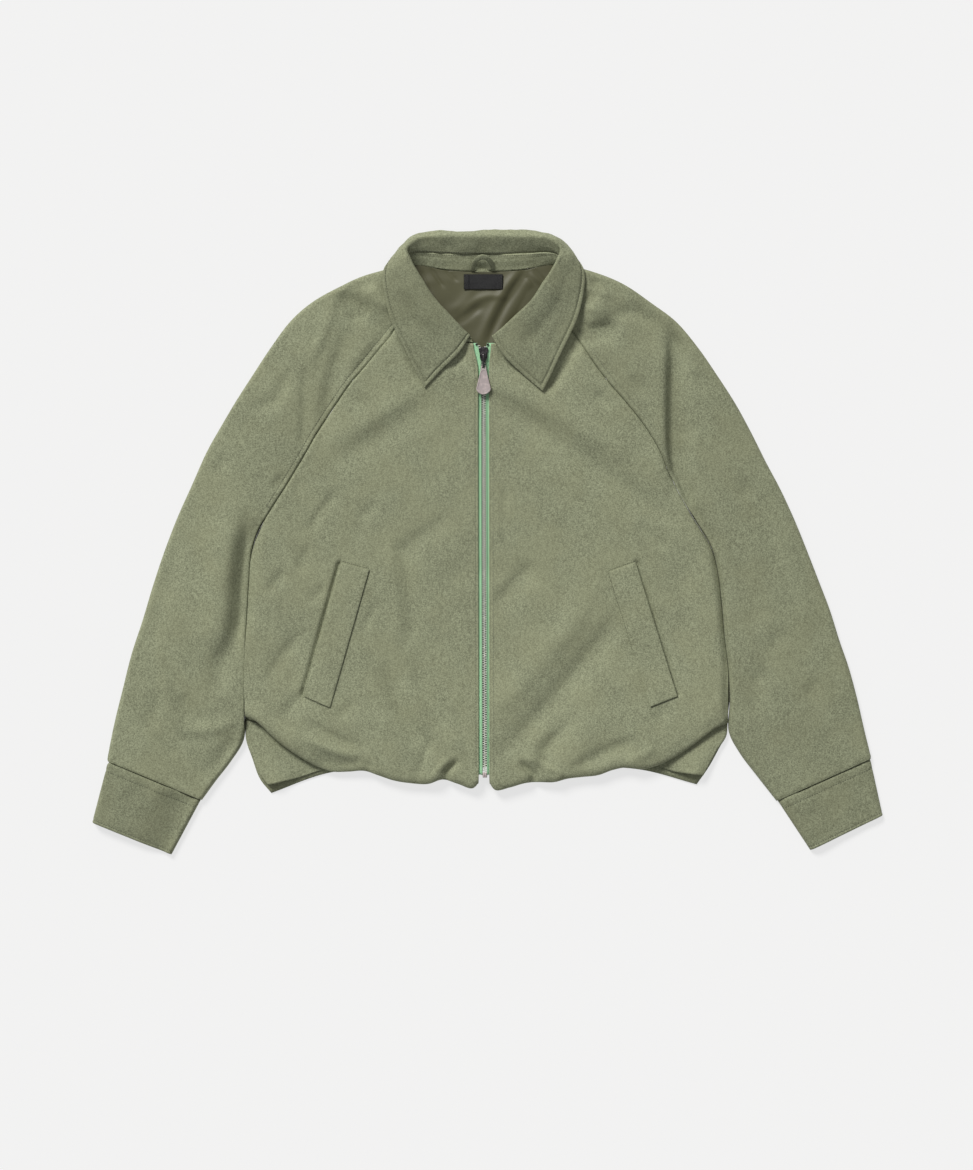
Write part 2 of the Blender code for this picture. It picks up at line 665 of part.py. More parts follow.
def collar_section(t):
    """The stand's face as its two ends, and the fall's face from there over the roll to its edge."""
    neck, roll, belly, low_belly, edge = collar_points(t)
    step = 0.5 / COLLAR_SPANS
    fold = (collar_points(min(t + step, 1.0))[1] - collar_points(max(t - step, 0.0))[1]).normalized()
    up = roll - neck
    up = (up - fold * up.dot(fold)).normalized()
    over = fold.cross(up)
    if over.dot(belly - neck) < 0:
        over = -over
    inward = 1.0 - abs(2.0 * t - 1.0)
    radius = ROLL_RADIUS_END + (ROLL_RADIUS - ROLL_RADIUS_END) * ease(inward / 0.12)
    gap = SEAM_GAP * (1.0 + 2.4 * math.exp(-(((inward - 0.66) / 0.09) ** 2)))
    centre = roll - up * radius
    far = belly - centre
    lean = math.atan2(far.dot(over), far.dot(up))
    end = lean + math.asin(radius / math.hypot(far.dot(up), far.dot(over)))
    arc = []
    for k in range(ROLL_STEPS + 1):
        a = end * k / ROLL_STEPS
        arc.append(centre + radius * (math.sin(a) * up - math.cos(a) * over))
    seam = neck.lerp(arc[0], 0.5)
    parted = seam + (arc[0] - neck).normalized() * gap
    hanging = [smooth_row((arc[-1], belly, low_belly, edge), k / FALL_STEPS)
               for k in range(1, FALL_STEPS + 1)]
    fall = [parted, parted.lerp(arc[0], 0.5)] + arc + [Vector(point) for point in hanging]
    for point in fall:
        point.z = max(point.z, 0.0)
    return neck, seam, fall


def make_collar(collection):
    """Stand and fall follow one surface, parted at the seam between them."""
    sections = [collar_section(k / COLLAR_SPANS) for k in range(COLLAR_SPANS + 1)]

    def stand(column, row):
        neck, seam, _ = sections[column]
        return neck.lerp(seam, row / STAND_STEPS)

    cloth("collar_stand", COLLAR_SPANS, STAND_STEPS, stand, SUEDE_WALL, "suede", collection)
    cloth("collar_fall", COLLAR_SPANS, len(sections[0][2]) - 1, lambda c, r: sections[c][2][r],
          COLLAR_WALL, "suede", collection)


def lining_height(x, y):
    """The lining lies slack in soft folds behind the neck."""
    top = LINING_TOP[0][1]
    slack = 0.9 + 0.9 * math.sin(0.075 * (x + 0.35 * y)) * ease((top - y) / 25.0)
    return LINING_BASE + LINING_WALL + slack * ease((top - y) / 14.0)


def make_lining(collection):
    columns, rows = 14, 8

    def place(column, row):
        x, y = coons(lambda u: smooth_row(LINING_TOP, u),
                     lambda u: mix(LINING_LEFT[-1], LINING_RIGHT[-1], u),
                     lambda v: smooth_row(LINING_LEFT, v), lambda v: smooth_row(LINING_RIGHT, v),
                     column / columns, row / rows)
        return x, y, lining_height(x, y)

    return cloth("lining_back", columns, rows, place, LINING_WALL, "lining", collection, flip=True)


def make_label(collection):
    def place(column, row):
        x = LABEL_CENTRE[0] + LABEL_SIZE[0] * (column / 6 - 0.5)
        y = LABEL_CENTRE[1] + LABEL_SIZE[1] * (0.5 - row / 3)
        return x, y, lining_height(x, y) + SEAM_GAP + 0.5 + LABEL_WALL

    return cloth("neck_label", 6, 3, place, LABEL_WALL, "label", collection, flip=True)


def make_loop(collection):
    """Hanging loop: a flat band that arches from the neck seam over the stand."""
    columns, rows = 12, 1
    neck, _, fall = collar_section(0.5)
    top = fall[2]

    def place(column, row):
        a = math.pi * column / columns
        reach = LOOP_HALF_WIDTH + LOOP_BAND * (row - 0.5)
        along = LOOP_REACH + LOOP_BAND * (row - 0.5)
        x = LOOP_CENTRE[0] - reach * math.cos(a)
        y = LOOP_CENTRE[1] + 1.0 + along * math.sin(a)
        z = neck.z + (top.z - neck.z) * (y - neck.y) / (top.y - neck.y) + LOOP_THICK + 1.0
        return x, y, z

    return cloth("hanger_loop", columns, rows, place, LOOP_THICK, "suede", collection)


def make_welt(side, panel, collection):
    """The welt is cut from the front's own faces and moved out."""
    corners = [Vector((x * MM, y * MM, 0.0)) for x, y in WELTS[side]]
    middle = sum(corners, Vector()) / 4.0
    bm = bmesh.new()
    bm.from_mesh(panel.data)
    low = [face for face in bm.faces if face.normal.z < 0.2]
    bmesh.ops.delete(bm, geom=low, context="FACES")
    for start, end in zip(corners, corners[1:] + corners[:1]):
        normal = Vector((end.y - start.y, start.x - end.x, 0.0))
        if normal.dot(middle - start) > 0:
            normal = -normal
        bmesh.ops.bisect_plane(bm, geom=bm.verts[:] + bm.edges[:] + bm.faces[:], dist=1e-6,
                               plane_co=start, plane_no=normal, clear_outer=True)
    bmesh.ops.remove_doubles(bm, verts=bm.verts, dist=0.5 * MM)
    for vert in bm.verts:
        vert.co.z += 1.08 * (SEAM_GAP + WELT_WALL) * MM
    mesh = bpy.data.meshes.new(f"welt_{side}")
    bm.to_mesh(mesh)
    bm.free()
    item = add_object(f"welt_{side}", mesh, "suede", collection)
    add_wall(item, WELT_WALL)
    return item


def zip_height(y):
    """Height of the tapes' upper face, just under the fronts' edges."""
    x = zip_x(y)
    edge = min(cloth_height(x - ZIP_OPENING / 2, y, front_base(y)),
               cloth_height(x + ZIP_OPENING / 2, y, front_base(y)))
    return edge - SUEDE_WALL - SEAM_GAP - 0.3


def make_zip_strips(collection):
    """Both tapes and the closed chain follow the fronts' height down the zip."""
    rows = 26
    low_y = ZIP_BOTTOM[1] + 4.0

    def row_y(row):
        return ZIP_TOP[1] + (low_y - ZIP_TOP[1]) * row / rows

    for side, sign in (("left", -1.0), ("right", 1.0)):
        def place(column, row, side=side, sign=sign):
            y = row_y(row)
            near = CHAIN_WIDTH / 2.0 + SEAM_GAP + tape_flare(side, y)
            return zip_x(y) + sign * (near + TAPE_WIDTH * column / 2), y, zip_height(y)

        cloth(f"zip_tape_{side}", 2, rows, place, TAPE_WALL, "tape", collection, flip=sign > 0)

    def chain(column, row):
        top = SLIDER_Y - 1.0
        y = top + (low_y + 3.0 - top) * row / rows
        return zip_x(y) + CHAIN_WIDTH * (0.5 - column), y, zip_height(y) + CHAIN_RISE

    cloth("zip_chain", 1, rows, chain, CHAIN_THICK, "dark_metal", collection)


def add_box(bm, size, centre):
    made = bmesh.ops.create_cube(bm, size=1.0)
    bmesh.ops.scale(bm, vec=Vector(size), verts=made["verts"])
    bmesh.ops.translate(bm, vec=Vector(centre), verts=made["verts"])
    return made["verts"]


def finish_mesh(name, bm, finish, collection, bevel=0.0):
    """Write a bmesh in millimetres as an object in metres."""
    bmesh.ops.scale(bm, vec=Vector((MM, MM, MM)), verts=bm.verts)
    mesh = bpy.data.meshes.new(name)
    bm.to_mesh(mesh)
    bm.free()
    item = add_object(name, mesh, finish, collection)
    if bevel:
        round_edge = item.modifiers.new("round", "BEVEL")
        round_edge.width = bevel * MM
        round_edge.segments = 2
        round_edge.limit_method = "ANGLE"
    return item


def hull_of_circles(near, near_radius, far, far_radius, steps):
    """Outline round two circles on the Y axis, near above far, as points."""
    lean = math.asin((far_radius - near_radius) / (near - far))
    points = []
    for k in range(steps + 1):
        a = -lean + (math.pi + 2 * lean) * k / steps
        points.append((near_radius * math.cos(a), near + near_radius * math.sin(a)))
    for k in range(steps + 1):
        a = math.pi + lean + (math.pi - 2 * lean) * k / steps
        points.append((far_radius * math.cos(a), far + far_radius * math.sin(a)))
    return points


def stadium(radius, length, steps):
    """Slot outline along -Y from the origin: two half circles and straight sides."""
    points = []
    for k in range(steps + 1):
        a = math.pi * k / steps
        points.append((radius * math.cos(a), radius * math.sin(a)))
    for k in range(steps + 1):
        a = math.pi + math.pi * k / steps
        points.append((radius * math.cos(a), -length + radius * math.sin(a)))
    return points


def plate(name, outlines, thick, place, finish, collection):
    """A flat plate from a filled 2D curve; the second outline is its hole."""
    curve = bpy.data.curves.new(name, "CURVE")
    curve.dimensions = "2D"
    curve.fill_mode = "BOTH"
    curve.extrude = thick / 2.0 * MM
    for outline in outlines:
        spline = curve.splines.new("POLY")
        spline.points.add(len(outline) - 1)
        for point, (x, y) in zip(spline.points, outline):
            point.co = (x * MM, y * MM, 0.0, 1.0)
        spline.use_cyclic_u = True
    holder = bpy.data.objects.new(name, curve)
    collection.objects.link(holder)
    bpy.context.view_layer.update()
    shape = holder.evaluated_get(bpy.context.evaluated_depsgraph_get())
    mesh = bpy.data.meshes.new_from_object(shape)
    bpy.data.objects.remove(holder)
    bm = bmesh.new()
    bm.from_mesh(mesh)
    bmesh.ops.remove_doubles(bm, verts=bm.verts, dist=1e-5)
    bmesh.ops.recalc_face_normals(bm, faces=bm.faces)
    bm.to_mesh(mesh)
    bm.free()
    item = add_object(name, mesh, finish, collection)
    item.matrix_world = place
    return item


def slider_top():
    return zip_height(SLIDER_Y) + CHAIN_RISE + SLIDER_PLAY + SLIDER_PLATE


def pin_height():
    return slider_top() + LINK_RADIUS + LINK_STRIP / 2.0 + 0.4


def make_slider(collection, cutters):
    """Slider body over and under the chain, with two ears and a cross pin."""
    x0, y0 = zip_x(SLIDER_Y), SLIDER_Y
    top = slider_top()
    low = top - CHAIN_THICK - 2.0 * (SLIDER_PLAY + SLIDER_PLATE)
    middle = (top + low) / 2.0

    bm = bmesh.new()
    body = add_box(bm, (SLIDER_WIDTH, SLIDER_LENGTH, top - low), (x0, y0, middle))
    for vert in body:
        if vert.co.y < y0:
            vert.co.x = x0 + (vert.co.x - x0) * 0.74
    item = finish_mesh("zip_slider", bm, "dark_metal", collection, bevel=0.5)

    cut = bmesh.new()
    wedge = 5.0
    depth = CHAIN_THICK + 2.0 * SLIDER_PLAY
    add_box(cut, (CHAIN_WIDTH + 2.0 * SLIDER_PLAY, SLIDER_LENGTH, depth), (x0, y0 - wedge, middle))
    channel = finish_mesh("chain_channel", cut, "dark_metal", cutters)
    slot = bmesh.new()
    mid_tape = zip_height(SLIDER_Y) - TAPE_WALL / 2.0
    for sign in (-1.0, 1.0):
        add_box(slot, (SLIDER_WIDTH, SLIDER_LENGTH + 2.0, TAPE_WALL + 2.0 * SLIDER_PLAY),
                (x0 + sign * (SLIDER_WIDTH / 2.0 + CHAIN_WIDTH / 2.0 - 0.3), y0, mid_tape))
    slots = finish_mesh("tape_slots", slot, "dark_metal", cutters)

    ears = bmesh.new()
    pin_z = pin_height()
    ear_x = EAR_GAP / 2.0 + EAR_WALL / 2.0
    for sign in (-1.0, 1.0):
        add_box(ears, (EAR_WALL, EAR_LENGTH, pin_z + EAR_RISE - top + EAR_SUNK),
                (x0 + sign * ear_x, PIN_Y, (pin_z + EAR_RISE + top - EAR_SUNK) / 2.0))
    ear_object = finish_mesh("slider_ears", ears, "dark_metal", cutters, bevel=0.3)

    pin = bmesh.new()
    bmesh.ops.create_cone(pin, cap_ends=True, segments=12, radius1=PIN_RADIUS, radius2=PIN_RADIUS,
                          depth=EAR_GAP + EAR_WALL)
    bmesh.ops.rotate(pin, verts=pin.verts, cent=(0, 0, 0), matrix=Matrix.Rotation(math.pi / 2, 3, "Y"))
    bmesh.ops.translate(pin, verts=pin.verts, vec=(x0, PIN_Y, pin_z))
    pin_object = finish_mesh("slider_pin", pin, "dark_metal", cutters)

    for tool, operation in ((channel, "DIFFERENCE"), (slots, "DIFFERENCE"), (ear_object, "UNION"),
                            (pin_object, "UNION")):
        step = item.modifiers.new(tool.name, "BOOLEAN")
        step.object = tool
        step.operation = operation
        tool.hide_render = True
        tool.display_type = "WIRE"
    return item


def make_pull(collection):
    """The link swings on the slider's pin, and the tab swings on the link's far end."""
    x0, pin_z = zip_x(SLIDER_Y), pin_height()
    hinge = bpy.data.objects.new("link_hinge", None)
    hinge.location = Vector((x0, PIN_Y, pin_z)) * MM
    collection.objects.link(hinge)
    turn = Matrix.Rotation(math.pi / 2, 4, "Y")
    outer, inner = LINK_RADIUS + LINK_STRIP / 2.0, LINK_RADIUS - LINK_STRIP / 2.0
    link = plate("pull_link", (stadium(outer, LINK_LENGTH, 8), stadium(inner, LINK_LENGTH, 8)), LINK_WIDTH,
                 turn, "dark_metal", collection)
    link.parent = hinge

    bar = bpy.data.objects.new("tab_hinge", None)
    bar.location = Vector((x0, PIN_Y - LINK_LENGTH, pin_z)) * MM
    collection.objects.link(bar)
    eye = TAB_HOLE[1] - TAB_EYE_RADIUS
    far_radius = TAB_WIDTH / 2.0
    far = far_radius - TAB_LENGTH + TAB_HOLE[1]
    hole = [(x * TAB_HOLE[0] / 2.0, y) for x, y in (
        (-0.7, -TAB_HOLE[1]), (0.7, -TAB_HOLE[1]), (1, -TAB_HOLE[1] - 0.5), (1, -TAB_HOLE[2] + 0.5),
        (0.7, -TAB_HOLE[2]), (-0.7, -TAB_HOLE[2]), (-1, -TAB_HOLE[2] + 0.5), (-1, -TAB_HOLE[1] - 0.5))]
    rest_y = PIN_Y - LINK_LENGTH + far
    seat = max(cloth_height(x0 + sign * far_radius * 0.7, rest_y + step)
               for sign in (-1.0, 1.0) for step in (-6.0, 0.0, 6.0))
    drop = pin_z - (seat + SEAM_GAP + 0.3 + TAB_THICK / 2.0)
    lean = Matrix.Rotation(math.atan2(drop, -far), 4, "X")
    tab = plate("pull_tab", (hull_of_circles(eye, TAB_EYE_RADIUS, far, far_radius, 12), hole), TAB_THICK,
                lean, "pale_metal", collection)
    tab.parent = bar


def make_stops(collection):
    """Two top stops on the tapes and the box at the lower end."""
    for side, sign in (("left", -1.0), ("right", 1.0)):
        bm = bmesh.new()
        y = ZIP_TOP[1] - 1.6
        x = zip_x(y) + sign * (CHAIN_WIDTH / 2.0 + SEAM_GAP + 1.1 + tape_flare(side, y))
        add_box(bm, STOP_SIZE, (x, y, zip_height(y) + SEAM_GAP + STOP_SIZE[2] / 2.0))
        finish_mesh(f"zip_stop_{side}", bm, "dark_metal", collection, bevel=0.25)
    bm = bmesh.new()
    y = ZIP_BOTTOM[1] + 4.0
    add_box(bm, BOX_SIZE, (zip_x(y), y - 0.4, zip_height(y) + CHAIN_RISE - CHAIN_THICK / 2.0))
    finish_mesh("zip_bottom_stop", bm, "dark_metal", collection, bevel=0.4)


def build():
    for item in list(bpy.data.objects):
        bpy.data.objects.remove(item, do_unlink=True)
    collection = bpy.data.collections.new("zip blouson")
    cutters = bpy.data.collections.new("cutters")
    bpy.context.scene.collection.children.link(collection)
    bpy.context.scene.collection.children.link(cutters)

    make_back(collection)
    front_left = make_front("left", SLEEVE_LEFT, NECK_LEFT, HEM_LEFT, collection)
    front_right = make_front("right", SLEEVE_RIGHT, NECK_RIGHT, HEM_RIGHT, collection)
    for side, table in (("left", SLEEVE_LEFT), ("right", SLEEVE_RIGHT)):
        make_sleeve(side, table, collection)
        make_cuff(side, table, collection)
    make_hem_band("left", BAND_LEFT, collection)
    make_hem_band("right", BAND_RIGHT, collection)
    make_collar(collection)
    make_lining(collection)
    make_label(collection)
    make_loop(collection)
    make_welt("left", front_left, collection)
    make_welt("right", front_right, collection)
    make_zip_strips(collection)
    make_stops(collection)
    make_slider(collection, cutters)
    make_pull(collection)


build()
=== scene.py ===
"""Zip blouson with raglan sleeves and a rolled bubble hem, laid flat on its back.

Every cloth piece is a fine shell on the form of its CAD solid, with creases, seams and stitches. The tables
hold millimetres: X runs to the right of the front view, Y towards the collar, Z up from the surface.
"""
import math

import bmesh
import bpy
from bpy.props import FloatProperty, FloatVectorProperty, PointerProperty
from mathutils import Matrix, Vector, noise
from mathutils.bvhtree import BVHTree


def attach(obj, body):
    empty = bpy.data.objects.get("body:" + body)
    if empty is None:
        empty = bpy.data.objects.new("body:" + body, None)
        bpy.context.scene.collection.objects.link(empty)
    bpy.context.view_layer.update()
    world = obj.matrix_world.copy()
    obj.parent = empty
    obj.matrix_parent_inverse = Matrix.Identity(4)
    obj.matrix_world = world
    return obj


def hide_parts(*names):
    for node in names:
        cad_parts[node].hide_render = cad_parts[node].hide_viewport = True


bl_info = {
    "name": "Zip blouson",
    "version": (1, 0, 0),
    "blender": (4, 5, 0),
    "location": "3D View > Sidebar > Blouson",
    "description": "Fine cloth, seams, stitches and finishes for a zip blouson that lies flat on its back",
    "category": "Object",
}

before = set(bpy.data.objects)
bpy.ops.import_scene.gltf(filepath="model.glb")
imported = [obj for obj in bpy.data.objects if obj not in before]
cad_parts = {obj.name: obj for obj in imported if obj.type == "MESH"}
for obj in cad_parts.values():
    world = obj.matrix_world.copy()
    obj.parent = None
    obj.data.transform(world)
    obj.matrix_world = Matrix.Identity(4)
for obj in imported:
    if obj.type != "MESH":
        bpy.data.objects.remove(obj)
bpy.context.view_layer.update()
MM = 0.001

# Cloth, as in the part's source
SUEDE_WALL = 1.5
COLLAR_WALL = 1.8
CUFF_WALL = 2.0
LINING_WALL = 1.0
TAPE_WALL = 0.7
LABEL_WALL = 0.6
LOOP_WALL = 1.4
WELT_WALL = 1.3
SEAM_GAP = 0.3
SIDE_GAP = 0.07
CHEST_HEIGHT = 10.0
BUBBLE_HEIGHT = 15.0
BUBBLE_TOP_Y = -120.0
BUBBLE_LOW_Y = -235.0
SLEEVE_RISE = 2.5
LEAST_HEIGHT = 4.6
FRONT_EDGE_LOW = 2.4
CUFF_HEIGHT = 7.9
BODY_TURN = 8.0
SLEEVE_TURN = 5.0
OUTER_TURN = 6.0
HEM_ROLL = 9.0
HEM_ROLL_LOW = 4.3
HEM_UNDER = (3.0, 8.0, 14.0, 20.0)
HEM_UNROLL = 42.0

STATIONS = 20
SIDE_STATIONS = 16
UNDERARM_STATION = 11
SIDES = (("left", -1.0), ("right", 1.0))

# outer edge x, y | seam beside the body x, y | back seam x, y
SLEEVE_LEFT = (
    (-100, 321, -79, 276, -89, 318),
    (-117, 315, -96, 258, -98, 288),
    (-144, 307, -114, 237, -115, 255),
    (-172, 294, -136, 210, -137, 217),
    (-202, 277, -158, 183, -158, 183),
    (-227, 255, -179, 153, -179, 153),
    (-250, 224, -198, 123, -198, 123),
    (-271, 192, -214, 95, -214, 95),
    (-289, 164, -231, 67, -231, 67),
    (-305, 137, -248, 40, -248, 40),
    (-323, 105, -263, 15, -263, 15),
    (-340, 67, -272, -12, -272, -12),
    (-357, 29, -275, -47, -275, -47),
    (-372, -10, -277, -83, -277, -83),
    (-385, -49, -279, -121, -279, -121),
    (-397, -89, -280, -160, -280, -160),
    (-410, -129, -280, -196, -280, -196),
    (-420, -169, -281, -227, -281, -227),
    (-428, -201, -296, -252, -296, -252),
    (-434, -229, -313, -274, -313, -274),
    (-438, -251, -329, -296, -329, -296),
)
SLEEVE_RIGHT = (
    (92, 321, 71, 276, 81, 318),
    (109, 316, 87, 258, 89, 288),
    (134, 308, 103, 237, 105, 255),
    (160, 296, 121, 209, 122, 217),
    (189, 276, 140, 184, 140, 184),
    (218, 254, 160, 161, 160, 161),
    (243, 224, 179, 137, 179, 137),
    (265, 192, 194, 112, 194, 112),
    (285, 161, 207, 86, 207, 86),
    (303, 128, 221, 57, 221, 57),
    (320, 94, 239, 26, 239, 26),
    (338, 60, 258, -6, 258, -6),
    (354, 25, 266, -38, 266, -38),
    (367, -7, 270, -72, 270, -72),
    (381, -43, 273, -108, 273, -108),
    (394, -77, 277, -144, 277, -144),
    (405, -112, 279, -182, 279, -182),
    (416, -144, 278, -217, 278, -217),
    (425, -177, 290, -241, 290, -241),
    (434, -216, 311, -269, 311, -269),
    (442, -248, 333, -297, 333, -297),
)
CUFF_END = {"left": (-456, -321, -363, -359), "right": (456, -313, 371, -354)}

NECK_LEFT = ((-16.3, 229.2), (-30, 232), (-47, 243), (-63, 258), (-79, 276))
NECK_RIGHT = ((4.0, 229), (21, 232), (38, 243), (55, 258), (71, 276))
HEM_LEFT = (
    (-10, -276), (-17, -282), (-34, -277), (-52, -272), (-68, -277), (-90, -276), (-108, -273),
    (-126, -267), (-142, -262), (-160, -263), (-178, -263), (-194, -258), (-211, -249), (-228, -238),
    (-245, -225), (-262, -212), (-279, -200),
)
HEM_RIGHT = (
    (2, -276), (9, -284), (26, -281), (44, -276), (60, -275), (76, -275), (92, -271), (109, -269),
    (127, -267), (144, -261), (160, -258), (177, -260), (195, -256), (214, -247), (235, -234),
    (256, -221), (277, -207),
)
BAND_LEFT = ((-279, -204), (-278, -226), (-271, -247), (-262, -268), (-252, -282), (-222, -272),
             (-190, -261), (-14, -258))
BAND_RIGHT = ((276.6, -207), (275, -222), (265, -238), (257, -253), (248, -271), (216, -264),
              (196, -257), (6, -258))
BAND_CORNER = 4
BAND_LIFT = 9.0
BAND_STEP = 3.4
BACK_SIDE_LEFT = ((-278, -227), (-271, -248), (-262, -272), (-249, -288))
BACK_SIDE_RIGHT = ((276.4, -203), (273.5, -223), (265, -240), (255, -258), (241, -278))
BACK_HEM = ((-249, -288), (-184, -265), (-90, -258), (-4, -258), (85, -258), (176, -261), (241, -278))
BACK_NECK = ((-89, 318), (-74, 321), (-56, 319), (-30, 317), (-4, 316.5), (22, 317), (48, 319), (66, 321),
             (81, 318))

# zip
ZIP_TOP = (-4.6, 230.0)
ZIP_BOTTOM = (-3.1, -270.0)
ZIP_OPENING = 12.3
ZIP_FLARE = {"left": 5.5, "right": 2.4}
ZIP_FLARE_LENGTH = 34.0
TAPE_WIDTH = 9.0
TAPE_FLARE = {"left": 4.6, "right": 1.2}
CHAIN_WIDTH = 4.6
CHAIN_THICK = 2.2
CHAIN_RISE = 0.75
SLIDER_PLAY = 0.35
SLIDER_Y = 217.3
SLIDER_LENGTH = 16.0
SLIDER_WIDTH = 11.0
SLIDER_PLATE = 1.1
PIN_Y = 215.5
PIN_RADIUS = 0.75
LINK_LENGTH = 12.0
LINK_WIDTH = 2.6
LINK_STRIP = 1.1
LINK_RADIUS = 2.0
EAR_GAP = 3.6
EAR_WALL = 0.9
TAB_WIDTH = 17.6
TAB_LENGTH = 34.0
TAB_THICK = 1.6
TAB_EYE_RADIUS = 3.05
TAB_HOLE = (3.4, 0.85, 3.8)
TAB_PANEL_DROP = 6.5

# folds: start x, y | end x, y | bow | half width left and right of the way | rise
FOLDS = {
    "chest_trough_right": (10, 162, 202, 34, 2, 12, 15, -4.0),
    "chest_ridge_right": (0, 187, 152, 104, 3, 16, 11, 3.4),
    "chest_trough_left": (-74, 154, -172, 94, 0, 17, 13, -2.3),
    "chest_ridge_left": (-74, 180, -164, 122, 0, 11, 16, 2.4),
    "waist_trough": (-40, -36, 40, -32, 2, 14, 14, -1.6),
    "middle_trough_left": (-50, 26, -106, -12, 0, 12, 8, -2.2),
    "low_trough_right": (142, -98, 26, -234, 3, 16, 12, -5.0),
    "low_ridge_right": (114, -68, 12, -190, 5, 14, 19, 3.4),
    "side_trough_right": (226, -18, 232, -112, 0, 18, 17, -2.6),
    "side_trough_left": (-224, -92, -222, -170, 0, 20, 16, -2.2),
    "hem_trough_left": (-116, -150, -74, -236, -2, 12, 10, -4.6),
    "hem_trough_zip": (-84, -144, -44, -216, -2, 10, 9, -3.4),
    "hem_trough_right": (92, -206, 56, -264, 0, 10, 9, -3.2),
    "hem_ridge_left": (-126, -196, -92, -250, 0, 9, 11, 2.8),
    "hem_ridge_right": (120, -200, 96, -255, 0, 18, 16, 2.0),
    "sleeve_valley_left": (-279, 18, -288, -108, 0, 6, 12, -4.4),
    "sleeve_ridge_left": (-292, 30, -305, -112, 0, 15, 26, 5.0),
    "shoulder_hollow_left": (-150, 270, -114, 240, 0, 9, 14, -4.8),
    "shoulder_fold_left": (-162, 240, -190, 124, -4, 13, 8, -3.2),
    "shoulder_hollow_right": (100, 240, 144, 246, 0, 9, 13, -5.2),
    "sleeve_crease_right": (214, 236, 215, 80, 0, 16, 6, -6.4),
    "sleeve_crease_ridge": (200, 230, 202, 84, 0, 8, 13, 4.2),
    "sleeve_dent_right": (318, -120, 306, -190, 0, 16, 16, -2.2),
    "elbow_dent_left": (-376, -178, -394, -220, 0, 9, 11, -2.6),
}
